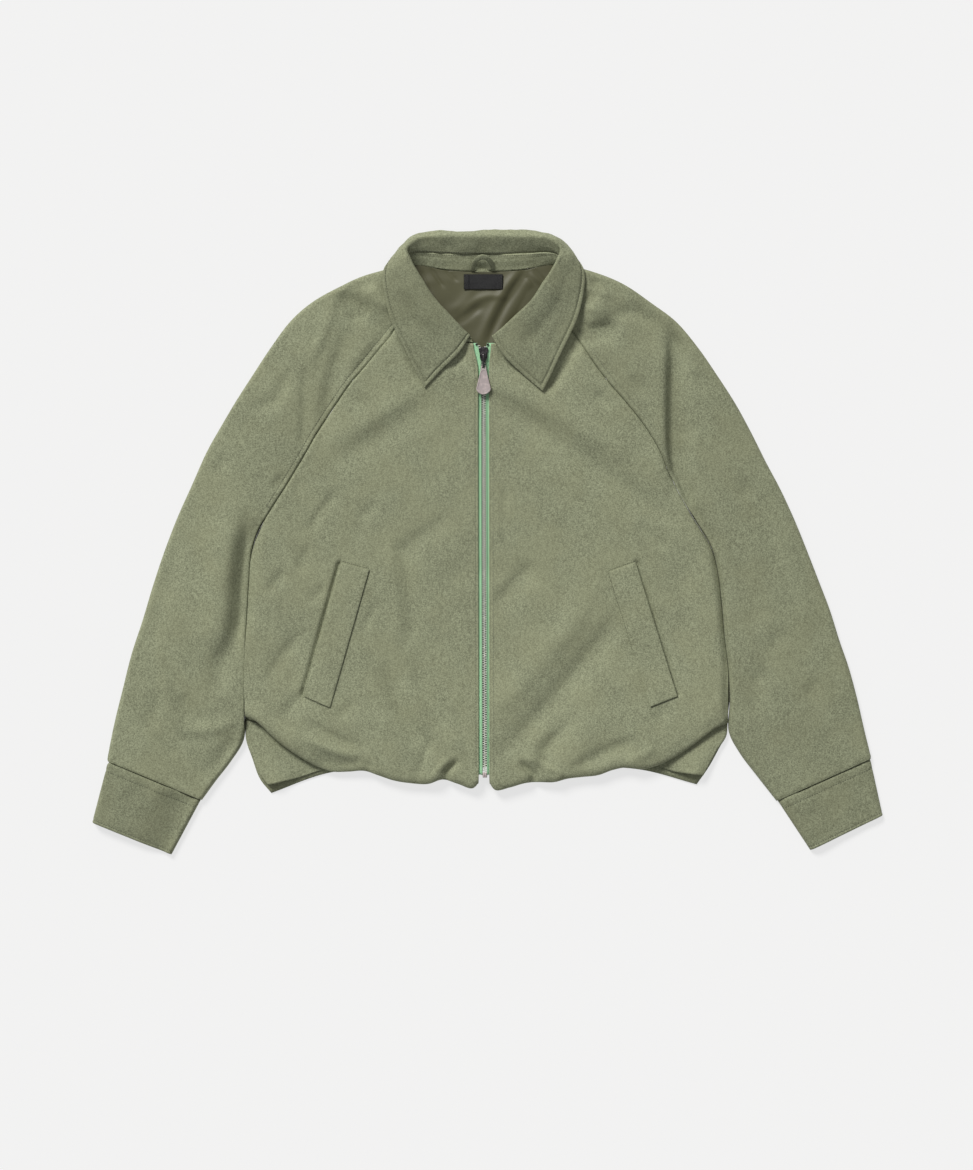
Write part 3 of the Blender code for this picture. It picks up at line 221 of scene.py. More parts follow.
# creases: plan points along the way | half width left and right of the way | rise
CREASES = {
    "beside_collar_left": ((-120.5, 300), (-113.5, 272), (-99.5, 234), (-76, 184), (3.2, 3, -3.0)),
    "crease_edge_right": ((214, 236), (209, 200), (208, 150), (209, 112), (218, 80), (232, 50),
                          (12, 3.2, -4.6)),
    "shoulder_rise_right": ((106, 270), (138, 270), (12, 8, 2.6)),
    "valley_left": ((-266, 22), (-272, 0), (-278, -48), (-277, -96), (8, 12, -4.8)),
    "valley_crest_left": ((-286, 22), (-293, 0), (-304, -44), (-300, -92), (-316, -122), (13, 24, 2.8)),
    "hollow_top_left": ((-166, 290), (-154, 276), (-138, 266), (6, 13, -4.8)),
    "hollow_seam_left": ((-140, 292), (-126, 278), (-110, 268), (13, 6, 5.0)),
    "hollow_collar_right": ((98, 240), (122, 243), (148, 250), (7, 13, -4.4)),
    "corner_left": ((-270, -190), (-244, -214), (-214, -234), (8, 12, 3.2)),
    "under_collar_left": ((-16, 234), (-26, 217), (-42, 200), (4, 4, -2.0)),
    "under_collar_right": ((6, 236), (16, 214), (34, 198), (4, 4, -2.6)),
    "beside_collar_right": ((126, 300), (112, 270), (106, 236), (90, 204), (68, 172), (6, 10, -5.0)),
    "seam_line_right": ((226, 62), (246, 26), (263, -8), (4, 5, -3.4)),
    "body_edge_right": ((262, -12), (272, -70), (276, -140), (275, -204), (2, 5, -3.6)),
    "streak_ridge_left": ((-112, -6), (-106, -52), (-98, -110), (5, 13, 2.3)),
    "streak_left": ((-97, -6), (-91, -52), (-84, -110), (12, 4.5, -1.9)),
    "streak_low_left": ((-126, -66), (-136, -86), (-146, -106), (5, 5, -1.2)),
    "spot_chest_left": ((-128, 46), (-148, 26), (8, 6, -1.6)),
    "spot_raglan_left": ((-172, 60), (-190, 40), (-206, 14), (8, 5, -1.9)),
    "spot_side_left": ((-206, -4), (-218, -34), (8, 6, -1.7)),
    "spot_side_left_2": ((-234, -32), (-252, -56), (8, 6, -2.0)),
    "spot_side_left_3": ((-188, -50), (-204, -68), (7, 6, -1.4)),
    "low_side_left": ((-216, -104), (-240, -134), (-252, -156), (9, 7, -2.4)),
    "low_side_left_2": ((-208, -172), (-234, -196), (9, 7, -2.6)),
    "low_side_left_3": ((-152, -184), (-174, -200), (8, 6, -1.8)),
    "hem_band_left": ((-208, -206), (-178, -222), (-146, -234), (5, 9, -2.6)),
    "hem_ridge_side": ((-206, -226), (-180, -238), (-150, -246), (6, 5, 3.4)),
    "hem_dark_left": ((-202, -252), (-172, -262), (-140, -264), (13, 8, -6.0)),
    "hem_crease_left": ((-140, -252), (-124, -266), (-112, -274), (3, 3.5, -3.4)),
    "hem_tuck_zip": ((-34, -250), (-46, -262), (-56, -274), (4, 3.6, -5.5)),
    "hem_tuck_zip_ridge": ((-44, -246), (-56, -260), (-66, -272), (3.5, 4, 2.2)),
    "ridge_between_left": ((-98, -164), (-84, -190), (-72, -216), (7, 7, 2.4)),
    "bright_beside_zip": ((-28, -80), (-27, -138), (8, 8, 1.0)),
    "hem_fan_zip": ((-34, -190), (-26, -230), (-22, -262), (5, 6, -1.4)),
    "hem_fan_left": ((-66, -226), (-74, -250), (-82, -272), (4.5, 5, -1.9)),
    "raglan_streak_left": ((-114, 246), (-136, 218), (-156, 192), (5, 5, -2.2)),
    "streak_chest_right": ((176, 20), (192, 6), (206, -8), (7, 6, -2.3)),
    "line_beside_zip": ((19, 64), (19, 0), (8, 4, -1.1)),
    "waist_dent_right": ((54, -24), (34, -44), (12, -70), (15, 9, -3.6)),
    "spot_low_right": ((80, -218), (58, -242), (8, 7, -2.6)),
    "hem_band_right": ((170, -226), (134, -240), (100, -258), (8, 6, -3.4)),
    "hem_ridge_right": ((158, -254), (176, -246), (192, -234), (5, 4.5, 2.6)),
    "hem_dark_right": ((270, -206), (240, -230), (206, -250), (178, -262), (7, 6, -4.4)),
    "spot_side_right": ((208, -188), (190, -208), (8, 7, -2.2)),
    "hem_tuck_right": ((38, -253), (52, -265), (64, -277), (4, 3.6, -5.8)),
    "hem_tuck_right_ridge": ((44, -245), (68, -257), (88, -268), (3.6, 3.6, 2.6)),
    "collar_crease_right": ((66, 168), (80, 146), (92, 120), (8, 8, -1.0)),
    "raglan_crease_right": ((118, 176), (146, 140), (176, 96), (8, 7, -1.4)),
    "chest_low_right": ((70, 90), (150, 24), (12, 10, 1.1)),
    "thin_streak_left": ((-211, 198), (-211, 150), (-214, 108), (9, 4, -2.3)),
    "shoulder_streak_left": ((-172, 288), (-184, 250), (-200, 212), (5, 8, 2.3)),
    "shoulder_dent_left": ((-154, 284), (-152, 254), (10, 8, -2.6)),
    "upper_dent_left": ((-230, 194), (-243, 164), (-268, 154), (8, 7, -2.4)),
    "spot_elbow_left": ((-300, 98), (-314, 82), (8, 7, -1.8)),
    "spot_elbow_left_2": ((-234, 78), (-246, 62), (7, 6, -1.7)),
    "spot_elbow_left_3": ((-210, 74), (-222, 58), (6, 6, -1.4)),
    "valley_branch_left": ((-286, -88), (-296, -114), (-308, -140), (-308, -170), (11, 12, -3.6)),
    "elbow_ridge_left": ((-372, -152), (-366, -190), (-352, -214), (-322, -216), (-288, -205), (6, 6, 2.9)),
    "elbow_hollow_left": ((-352, -178), (-340, -196), (-326, -208), (8, 9, -2.9)),
    "elbow_hollow_left_2": ((-390, -222), (-374, -236), (-356, -246), (8, 7, -2.6)),
    "cuff_hollow_left": ((-292, -226), (-312, -256), (-338, -272), (10, 9, -4.6)),
    "crease_end_right": ((214, 118), (219, 80), (233, 48), (11, 5, -3.0)),
    "outline_band_right": ((138, 252), (154, 264), (172, 266), (190, 254), (210, 232), (224, 214),
                           (8, 7, -3.4)),
    "shoulder_ridge_right": ((112, 292), (128, 290), (142, 282), (6, 6, 2.4)),
    "spot_shoulder_right": ((166, 190), (182, 172), (8, 7, -2.0)),
    "spot_shoulder_right_2": ((126, 172), (140, 156), (7, 6, -1.7)),
    "spot_sleeve_right": ((238, 138), (226, 120), (7, 7, -1.8)),
    "spot_sleeve_right_2": ((236, 194), (250, 174), (8, 7, -1.9)),
    "spot_elbow_right": ((302, 70), (290, 52), (8, 7, -1.8)),
    "elbow_crease_right": ((284, -18), (298, -58), (310, -96), (9, 9, -1.7)),
    "low_sleeve_right": ((340, -102), (326, -122), (9, 8, -2.0)),
    "low_sleeve_right_2": ((320, -144), (306, -162), (9, 7, -2.0)),
    "low_sleeve_right_3": ((380, -158), (366, -178), (9, 8, -2.0)),
    "low_sleeve_right_4": ((300, -186), (316, -222), (330, -246), (8, 8, -1.8)),
    "cuff_crease_right": ((400, -206), (384, -258), (8, 8, -1.4)),
    "cuff_crease_right_2": ((420, -190), (412, -246), (7, 7, -1.2)),
    "cuff_crease_left": ((-412, -206), (-400, -252), (7, 7, -1.3)),
    "long_sleeve_right": ((330, 40), (350, -20), (372, -90), (10, 10, 1.4)),
    "long_sleeve_left": ((-350, 10), (-372, -60), (-388, -120), (10, 12, -1.4)),
}
# pocket openings: dark slits beside the outer edges of the welts
SLITS = {
    "left": ((-170, -21), (-171.5, -26), (-213.5, -176), (2.6, 2.2, -4.4)),
    "right": ((171, -20), (173.5, -25), (220.5, -176), (2.2, 2.6, -4.4)),
}
# soft troughs down the collar's falls
FALL_FOLDS = {
    "right": ((94, 318), (82, 278), (58, 244), (40, 226), (9, 14, -3.6)),
    "left": ((-98, 286), (-88, 256), (-68, 236), (-50, 214), (12, 9, -2.2)),
}
BACK_FOLDS = {
    "back_yoke_left": (-40, 210, -180, 120, 8, 16, 14, 0.7),
    "back_yoke_right": (36, 204, 176, 112, -8, 16, 14, 0.7),
    "back_middle": (-10, 150, 16, -60, 8, 14, 14, 0.6),
    "back_waist_left": (-200, -40, -60, -110, 6, 14, 12, 0.7),
    "back_waist_right": (210, -30, 60, -120, -6, 14, 12, 0.7),
    "back_hem_left": (-150, -170, -110, -250, 0, 10, 10, 0.7),
    "back_hem_right": (140, -170, 96, -250, 0, 10, 10, 0.7),
    "back_hem_middle": (-20, -190, -6, -250, 0, 9, 9, 0.6),
}
LINING_FOLDS = {
    "right_valley": (20, 236, 62, 296, 0, 9, 7, -2.4),
    "long_valley": (2, 236, 46, 314, 3, 3.2, 5, -2.1),
    "long_ridge": (-7, 238, 34, 312, 3, 5, 4, 1.9),
    "arch_ridge": (-26, 268, 16, 284, 6, 5, 4, 1.7),
    "low_valley": (-34, 254, -8, 272, 0, 4, 4, -1.9),
    "low_ridge": (-40, 268, -18, 292, -3, 6, 6, 1.1),
    "pleat_left": (-64, 314, -52, 296, 0, 2.2, 1.8, -1.5),
    "pleat_left_2": (-47, 314, -36, 302, 0, 2.0, 1.8, -1.5),
    "pleat_left_3": (-76, 312, -66, 288, 0, 2.6, 2.0, -1.3),
    "pleat_right": (42, 314, 60, 292, 0, 1.8, 2.2, -1.5),
    "pleat_right_2": (54, 314, 70, 298, 0, 1.8, 2.2, -1.5),
    "side_fold_right": (66, 286, 30, 238, 2, 5, 6, 1.5),
}

# collar rows: neck | roll | belly | lower belly | free edge, each x, y, z, then the shift on the right side
COLLAR_MIDDLE = -4.3
COLLAR = (
    (-17, 230.4, 9.4, -19.5, 238, 12.4, -28, 216, 15.6, -50, 193, 13.4, -72, 178, 12.7, -6.5),
    (-31, 233.4, 8.6, -32, 250, 14.5, -46, 231, 17.2, -64, 212, 14.0, -82, 196, 13.6, -4),
    (-46, 243.2, 8.6, -45, 264, 17.0, -60, 246, 19.0, -77, 230, 14.6, -92, 216, 14.4, -2),
    (-58.4, 255, 8.6, -57, 277, 19.5, -72, 262, 21.0, -88, 249, 15.2, -102.5, 237, 14.8, 0),
    (-68.4, 265.3, 8.6, -68, 291, 21.5, -82, 278, 22.5, -98, 267, 16.0, -111.5, 257, 14.8, 0),
    (-79.5, 281, 8.6, -77, 305, 22.2, -91, 293, 23.6, -105, 284, 16.8, -117, 276, 14.4, 0),
    (-85.6, 294, 8.6, -84, 316.5, 22.6, -97, 306, 23.2, -109.5, 299, 17.2, -120, 292, 13.8, 0),
    (-90.5, 305, 8.6, -90, 326.5, 22.6, -102, 318, 22.2, -112, 312, 17.0, -121, 306, 12.7, 0),
    (-93.5, 314, 7.5, -94, 336.5, 22.0, -104, 331, 19.0, -111, 325, 14.0, -118, 318, 11.5, 0),
    (-90, 319.5, 4.9, -90, 346, 21.2, -97, 345, 13.0, -102, 340, 5.0, -104, 331, 2.2, 0),
    (-79, 319.8, 3.7, -79, 352, 20.2, -84, 355, 10.5, -84.5, 350, 0.8, -84, 334, 0.0, 0),
    (-58, 316.3, 3.4, -61, 354, 19.4, -64, 359, 10.0, -64, 352, 0.0, -62, 333, 0.0, 0),
    (-34, 313.6, 3.4, -35, 354.5, 19.0, -36, 359, 10.0, -36, 352, 0.0, -35, 332, 0.0, 0),
    (-4.3, 312.8, 3.4, -4.3, 354.5, 19.0, -4.3, 359, 10.0, -4.3, 352, 0.0, -4.3, 332, 0.0, 0),
)
# moves of neck, roll, belly, lower belly and free edge at the front ends, which differ between the sides
COLLAR_ENDS = {
    "left": ((0, 0), (0, 0), (-4, 3), (-4.5, 4), (0, 0)),
    "right": ((0, 0), (0, 0), (0, 0), (0, 0), (0, -3.5)),
}
COLLAR_END_SHARE = 0.2
ROLL_RADIUS = 3.8
ROLL_RADIUS_END = 2.7

# neck lining, label, loop and welts
LINING_TOP = (
    (-93, 313), (-87, 320.6), (-74, 320.8), (-56, 315.2), (-34, 313.0), (-4.3, 312.2), (25.4, 313.0),
    (47.4, 315.2), (65.4, 320.8), (78.4, 320.6), (84.4, 313),
)
LINING_LEFT = ((-93, 313), (-92, 294), (-76, 246), (-44, 200))
LINING_RIGHT = ((84.4, 313), (83, 294), (68, 246), (36, 200))
LINING_BASE = 1.9
LABEL_SIZE = (45.0, 17.5)
LABEL_CENTRE = (-4.8, 300.6)
LABEL_RISE = 2.2
LOOP_CENTRE = (-5.3, 313.0)
LOOP_HALF_WIDTH = 11.7
LOOP_REACH = 13.6
LOOP_BAND = 5.6
LOOP_STAND_OFF = 6.5
WELTS = {
    "left": ((-168, -22), (-136, -31), (-181, -189), (-211, -176)),
    "right": ((170, -22), (139, -33), (187, -188), (218, -176)),
}

# left sleeve and body: how far they close up level beside each other, and between which stations
MEETING = 0.97
MEETING_START = 12.6
MEETING_END = 16.9

# distances of the fine rows beside a sewn edge, a plain fold and a turned edge
SEWN_STEPS = (0.0, 0.4, 0.9, 1.5, 2.3, 3.3, 4.4, 5.3, 5.9, 6.5, 7.1, 7.9, 9.2, 11.0)
FOLD_STEPS = (0.0, 0.3, 0.7, 1.3, 2.1, 3.1, 4.2, 5.4, 7.0)
TURN_STEPS = (0.0, 0.25, 0.6, 1.1, 1.8, 2.7, 3.8, 5.0, 6.3, 8.0, 10.0)
WELT_STEPS = (0.0, 0.4, 1.0, 1.8)
COLLAR_FRONT_STEPS = (0.0, 0.4, 0.9, 1.5, 2.3, 3.3, 4.2, 5.0, 5.8, 6.8, 8.5)
COLLAR_EDGE_STEPS = (0.0, 0.3, 0.7, 1.3, 2.1, 3.1, 4.1, 5.0, 5.9, 7.0, 8.6)
TOPSTITCH = 6.4
COLLAR_TOPSTITCH = 5.0
CUFF_TOPSTITCH = 10.0
CUFF_END_STITCH = 3.6
ZIP_TOPSTITCH = 4.2
SEAM_WIDTH = 1.15
CUFF_STEP = {"left": 6.0, "right": -2.0}
OUTER_ANGLES = tuple(78 - 12 * k for k in range(15))

# stage, in metres; the glow lifts the lit floor to the tone of the backdrop
FLOOR_HALF = 14.0
FLOOR_DROP = 0.0004
FLOOR_GLOW = 0.692
BACKDROP = (0.887, 0.887, 0.887, 1.0)
SKY_COLOUR = (0.985, 0.99, 1.0, 1.0)
KEY_COLOUR = (1.0, 0.985, 0.96)
KEY_WAY = (0.49, -0.83, -0.78)
KEY_PLACE = (-1.5, 1.8, 2.4)
CAMERA_X = -0.00115
CAMERA_Y = -0.0483
CAMERA_ABOVE = 0.008
LENS = 85.0
SENSOR = 36.0

SHELLS = {}


# ---------------------------------------------------------------- settings

def size_setting(name, description, default):
    """A setting that is a length in metres."""
    return FloatProperty(name=name, description=description, default=default, unit="LENGTH",
                         subtype="DISTANCE")


def colour_setting(name, description, default):
    """A setting that is a colour."""
    return FloatVectorProperty(name=name, description=description, default=default, size=3,
                               subtype="COLOR")


class ClothSettings(bpy.types.PropertyGroup):
    """Sizes of the cloth's relief."""
    fold_strength: FloatProperty(name="Folds", description="Height of the folds, 1 as modelled", default=1.0,
                                 min=0.0, max=1.5)
    ripple: size_setting("Ripple", "Height of the cloth's small unevenness", 0.00042)
    seam_dip: size_setting("Seam dip", "How far the cloth sinks at a sewn seam", 0.0017)
    stitch_dip: size_setting("Stitch dip", "Depth of the channel under a topstitch", 0.00055)
    pucker: size_setting("Pucker", "Height of the small gathers beside a topstitch", 0.00022)


class StitchSettings(bpy.types.PropertyGroup):
    """Sizes of the visible thread."""
    pitch: size_setting("Pitch", "Distance from one stitch to the next", 0.0030)
    length: size_setting("Length", "Length of the thread that shows in one stitch", 0.0021)
    width: size_setting("Width", "Width of the thread", 0.00070)


class ZipSettings(bpy.types.PropertyGroup):
    """Sizes of the zip's teeth."""
    pitch: size_setting("Tooth pitch", "Distance from a tooth to the next on its side", 0.00265)
    reach: size_setting("Tooth reach", "Length of a tooth from the middle of the zip", 0.0024)
    cord: size_setting("Edge cord", "Radius of the cord that the teeth are clamped on", 0.00075)


class ColourSettings(bpy.types.PropertyGroup):
    """Colours of the finishes."""
    suede: colour_setting("Suede", "Brushed suede cloth", (0.249, 0.266, 0.1725))
    lining: colour_setting("Lining", "Satin neck lining", (0.080, 0.079, 0.038))
    thread: colour_setting("Thread", "Sewing thread", (0.058, 0.062, 0.038))
    tape: colour_setting("Tape", "Woven zip tape", (0.350, 0.640, 0.380))
    label: colour_setting("Label", "Plain woven neck label", (0.010, 0.010, 0.011))
    dark_metal: colour_setting("Dark metal", "Slider, link and stops", (0.085, 0.080, 0.084))
    teeth: colour_setting("Teeth", "Zip teeth", (0.680, 0.690, 0.620))
    pale_metal: colour_setting("Pale metal", "Pull tab", (0.500, 0.430, 0.425))


class StageSettings(bpy.types.PropertyGroup):
    """Floor, light and camera."""
    floor: colour_setting("Floor", "Pale floor", (0.20, 0.20, 0.20))
    sky: FloatProperty(name="Sky", description="Strength of the even light", default=0.335, min=0.0)
    key: FloatProperty(name="Key", description="Strength of the soft light from the upper left", default=3.27,
                       min=0.0)
    key_spread: FloatProperty(name="Key spread", description="Angle that the soft light fills",
                              default=math.radians(20), unit="ROTATION", subtype="ANGLE")
    distance: size_setting("Camera distance", "Height of the camera above the cloth", 3.177)


# ---------------------------------------------------------------- forms shared with the part's source

def ease(t):
    """Smooth step from 0 to 1."""
    t = min(max(t, 0.0), 1.0)
    return t * t * (3.0 - 2.0 * t)


def bell(distance, width, at=0.0):
    """1 at a place and falling to 0 on both sides of it."""
    return math.exp(-(((distance - at) / width) ** 2))


def mix(a, b, t):
    """The tuple at t between two tuples."""
    return tuple(p + (q - p) * t for p, q in zip(a, b))


def slope_at(before, here, after, gap_in, gap_out):
    """Slope of the smooth curve at a row, from its two neighbours and their distances."""
    return tuple(
        ((p - a) / gap_in * gap_out + (b - p) / gap_out * gap_in) / (gap_in + gap_out)
        for a, p, b in zip(before, here, after)
    )


def smooth_row(rows, t):
    """Point on the smooth curve through a table's rows, t from 0 at the first to 1 at the last."""
    last = len(rows) - 1
    place = min(max(t, 0.0), 1.0) * last
    k = min(int(place), last - 1)
    f = place - k
    a, b = rows[k], rows[k + 1]
    before = rows[k - 1] if k else tuple(2 * p - q for p, q in zip(a, b))
    after = rows[k + 2] if k + 2 <= last else tuple(2 * q - p for p, q in zip(a, b))
    gaps = [max(math.dist(p, q), 1e-6) ** 0.75 for p, q in ((before, a), (a, b), (b, after))]
    start = slope_at(before, a, b, gaps[0], gaps[1])
    end = slope_at(a, b, after, gaps[1], gaps[2])
    h = gaps[1]
    return tuple(
        p * (1 + 2 * f) * (1 - f) ** 2 + m * h * f * (1 - f) ** 2
        + q * f * f * (3 - 2 * f) - n * h * f * f * (1 - f)
        for p, q, m, n in zip(a, b, start, end)
    )


def turned(distance, radius):
    """Share of the full height at a distance in from a turned edge."""
    inside = min(max(distance / radius, 0.0), 1.0)
    return math.sqrt(1.0 - (1.0 - inside) ** 2)


def prepared(table):
    """Folds with their own frame, so that a far point is passed over quickly."""
    made = []
    for x0, y0, x1, y1, bow, left, right, rise in table.values():
        dx, dy = x1 - x0, y1 - y0
        length = math.hypot(dx, dy)
        reach = 2.6 * max(left, right) + abs(bow)
        made.append((x0, y0, dx / length, dy / length, length, bow, left, right, rise, reach))
    return made


MAIN_FOLD_LIST = prepared(FOLDS)
BACK_FOLD_LIST = prepared(BACK_FOLDS)
LINING_FOLD_LIST = prepared(LINING_FOLDS)


def fold_sum(folds, x, y):
    """Sum of soft troughs and ridges at a plan point."""
    total = 0.0
    for x0, y0, ux, uy, length, bow, left, right, rise, reach in folds:
        along = ((x - x0) * ux + (y - y0) * uy) / length
        if not -0.3 < along < 1.3:
            continue
        across = (y - y0) * ux - (x - x0) * uy
        if abs(across) > reach:
            continue
        across -= bow * (1.0 - (2.0 * along - 1.0) ** 2)
        width = left if across > 0 else right
        fade = ease((along + 0.25) / 0.5) * ease((1.25 - along) / 0.5)
        total += rise * fade * bell(across, width)
    return total


def prepared_creases(table):
    """Creases as their straight runs, each with the box outside which it can be passed over."""
    made = []
    for entry in table.values():
        points, (left, right, rise) = entry[:-1], entry[-1]
        runs, walked = [], 0.0
        for (xa, ya), (xb, yb) in zip(points, points[1:]):
            length = math.hypot(xb - xa, yb - ya)
            runs.append((xa, ya, (xb - xa) / length, (yb - ya) / length, length, walked))
            walked += length
        reach = 2.5 * max(left, right)
        xs, ys = [x for x, _ in points], [y for _, y in points]
        box = (min(xs) - reach, max(xs) + reach, min(ys) - reach, max(ys) + reach)
        made.append((box, runs, walked, left, right, rise))
    return made


CREASE_LIST = prepared_creases(CREASES)
SLIT_LIST = prepared_creases(SLITS)
FALL_LIST = prepared_creases(FALL_FOLDS)


def crease_sum(creases, x, y, sharp=False):
    """Sum of the creases at a plan point; each fades out towards its two ends."""
    total = 0.0
    for (x_low, x_high, y_low, y_high), runs, whole, left, right, rise in creases:
        if not (x_low < x < x_high and y_low < y < y_high):
            continue
        nearest, side, place = 1e9, 0.0, 0.0
        for x0, y0, ux, uy, length, walked in runs:
            along = (x - x0) * ux + (y - y0) * uy
            across = (y - y0) * ux - (x - x0) * uy
            beyond = max(-along, along - length, 0.0)
            far = math.hypot(across, beyond)
            if far < nearest:
                nearest, side, place = far, across, walked + along
        width = left if side > 0 else right
        end = 4.0 if sharp else min(0.42 * whole, 26.0)
        fade = ease((place + end * 0.4) / end) * ease((whole + end * 0.4 - place) / end)
        total += rise * fade * bell(nearest, width)
    return total


def solid_height(x, y, base=CHEST_HEIGHT):
    """Height of the solid's outer cloth at a plan point."""
    height = base + fold_sum(MAIN_FOLD_LIST, x, y)
    return max(height, LEAST_HEIGHT + 0.25 * (height - LEAST_HEIGHT))


def cloth_height(x, y, base=CHEST_HEIGHT, fine=1.0):
    """Height of the outer cloth with its small creases and unevenness."""
    settings = bpy.context.scene.blouson_cloth
    height = base + settings.fold_strength * fold_sum(MAIN_FOLD_LIST, x, y)
    if fine > 0.0:
        ripple = settings.ripple / MM
        spot = Vector((x, y, 3.0))
        uneven = noise.noise(spot / 31.0) + 0.42 * noise.noise(spot / 13.0) + 0.16 * noise.noise(spot / 5.0)
        height += fine * (settings.fold_strength * crease_sum(CREASE_LIST, x, y) + ripple * uneven)
    return max(height, LEAST_HEIGHT + 0.25 * (height - LEAST_HEIGHT))


def front_base(y):
    """The front swells towards its rolled hem."""
    swell = ease((BUBBLE_TOP_Y - y) / (BUBBLE_TOP_Y - BUBBLE_LOW_Y))
    return CHEST_HEIGHT + (BUBBLE_HEIGHT - CHEST_HEIGHT) * swell


def closed_share(station):
    """0 where a sleeve is open to the body at its raglan seam, 1 where its seam is a turned edge."""
    return ease((station - UNDERARM_STATION + 1.6) / 2.2)


def meeting(side, station):
    """How far the left sleeve and the body close up beside each other between elbow and hem."""
    if side != "left":
        return 0.0
    return MEETING * ease((station - MEETING_START) / 1.6) * ease((MEETING_END - station) / 0.7)


def seam_gap(station):
    """Room between a sleeve and the body: a sewn seam's, or that of two edges side by side."""
    return SEAM_GAP + (SIDE_GAP - SEAM_GAP) * closed_share(station)


def seam_point(table, station, column, shift):
    """Point on a sleeve seam, moved square to it; a positive shift goes towards the body."""
    at = station / STATIONS
    step = 0.004
    x, y = smooth_row(table, at)[column:column + 2]
    xa, ya = smooth_row(table, at - step)[column:column + 2]
    xb, yb = smooth_row(table, at + step)[column:column + 2]
    across = Vector((yb - ya, xa - xb)).normalized()
    if across.x * x > 0:
        across = -across
    return x + across.x * shift, y + across.y * shift


def zip_x(y):
    """X of the zip's middle line, which leans a little."""
    share = (ZIP_TOP[1] - y) / (ZIP_TOP[1] - ZIP_BOTTOM[1])
    return ZIP_TOP[0] + (ZIP_BOTTOM[0] - ZIP_TOP[0]) * share


def zip_flare(side, y):
    """How far a front's edge spreads from the zip's straight line near the top."""
    share = (y - NECK_LEFT[0][1] + ZIP_FLARE_LENGTH) / ZIP_FLARE_LENGTH
    return ZIP_FLARE[side] * ease(share) ** 1.3


def zip_height(y):
    """Height of the tapes' upper face, just under the fronts' edges."""
    x = zip_x(y)
    edge = min(solid_height(x - ZIP_OPENING / 2, y, front_base(y)),
               solid_height(x + ZIP_OPENING / 2, y, front_base(y)))
    return edge - SUEDE_WALL - SEAM_GAP - 0.3


def spaced(width, near, far, count):
    """Distances across a panel: close together beside both edges and even between them."""
    start, end = near[-1], width - far[-1]
    between = [start + (end - start) * k / count for k in range(1, count)]
    return list(near) + between + [width - step for step in reversed(far)]


def patch_point(top, bottom, start, end, corners, u, v):
    """Plan point of the patch between four edges, at u across and v down."""
    x, y = (p * (1 - v) + q * v + a * (1 - u) + b * u
            - ((1 - u) * (1 - v) * c0 + u * (1 - v) * c1 + (1 - u) * v * c2 + u * v * c3)
            for p, q, a, b, c0, c1, c2, c3 in zip(top, bottom, start, end, *corners))
    return x, y


# ---------------------------------------------------------------- finishes

class Amount:
    """A value socket; an expression on it adds the Math nodes."""

    def __init__(self, finish, socket):
        self.finish = finish
        self.socket = socket

    def maths(self, operation, first, second):
        return self.finish.node("ShaderNodeMath", {"operation": operation}, {0: first, 1: second})

    def __add__(self, other):
        return self.maths("ADD", self, other)

    def __radd__(self, other):
        return self.maths("ADD", other, self)

    def __sub__(self, other):
        return self.maths("SUBTRACT", self, other)

    def __rsub__(self, other):
        return self.maths("SUBTRACT", other, self)

    def __mul__(self, other):
        return self.maths("MULTIPLY", self, other)

    def __rmul__(self, other):
        return self.maths("MULTIPLY", other, self)

    def __pow__(self, other):
        return self.maths("POWER", self, other)


class Finish:
    """A material with its shader, and one method for its other nodes."""

    def __init__(self, name, roughness, metallic=0.0, **constants):
        self.material = bpy.data.materials.new(name)
        self.material.use_nodes = True
        self.tree = self.material.node_tree
        self.shader = self.tree.nodes["Principled BSDF"]
        self.shader.inputs["Roughness"].default_value = roughness
        self.shader.inputs["Metallic"].default_value = metallic
        for socket, value in constants.items():
            self.shader.inputs[socket.replace("_", " ")].default_value = value

    def feed(self, socket, value):
        """Link an amount to a socket, or set the socket to a constant."""
        if isinstance(value, Amount):
            self.tree.links.new(value.socket, socket)
        else:
            socket.default_value = value

    def node(self, kind, settings, values, output=0):
        """Add a node with its settings and inputs, and give one of its outputs."""
        made = self.tree.nodes.new(kind)
        for name, setting in settings.items():
            setattr(made, name, setting)
        for name, value in values.items():
            self.feed(made.inputs[name], value)
        return Amount(self, made.outputs[output])

    def place(self, stretch=(1.0, 1.0, 1.0), turn=0.0):
        """The piece's own place in metres, stretched and turned about Z."""
        where = self.node("ShaderNodeTexCoord", {}, {}, "Object")
        return self.node("ShaderNodeMapping", {}, {"Vector": where, "Scale": stretch,
                                                   "Rotation": (0.0, 0.0, turn)})

    def noise(self, where, size, detail=2.0, roughness=0.5):
        """Soft noise from 0 to 1 whose patches are about size metres wide."""
        return self.node("ShaderNodeTexNoise", {}, {"Vector": where, "Scale": 1.0 / size, "Detail": detail,
                                                    "Roughness": roughness}, "Fac")

    def wave(self, where, bands, scale, distortion, detail=1.0):
        """Even bands from 0 to 1 along X, Y or the diagonal."""
        return self.node("ShaderNodeTexWave", {"bands_direction": bands},
                         {"Vector": where, "Scale": scale, "Distortion": distortion, "Detail": detail}, "Fac")

    def tint(self, share, first, second):
        """The colour at a share between two colours."""
        return self.node("ShaderNodeMix", {"data_type": "RGBA"}, {0: share, 6: first, 7: second}, 2)

    def clamp(self, value, low, high):
        """0 below low, 1 above high, and smooth between."""
        return self.node("ShaderNodeMapRange", {"interpolation_type": "SMOOTHSTEP"},
                         {"Value": value, "From Min": low, "From Max": high})

    def bump(self, height, strength, distance):
        made = self.node("ShaderNodeBump", {}, {"Height": height, "Strength": strength, "Distance": distance})
        self.feed(self.shader.inputs["Normal"], made)

    def colour(self, value):
        self.feed(self.shader.inputs["Base Color"], value)

    def roughness(self, value):
        self.feed(self.shader.inputs["Roughness"], value)


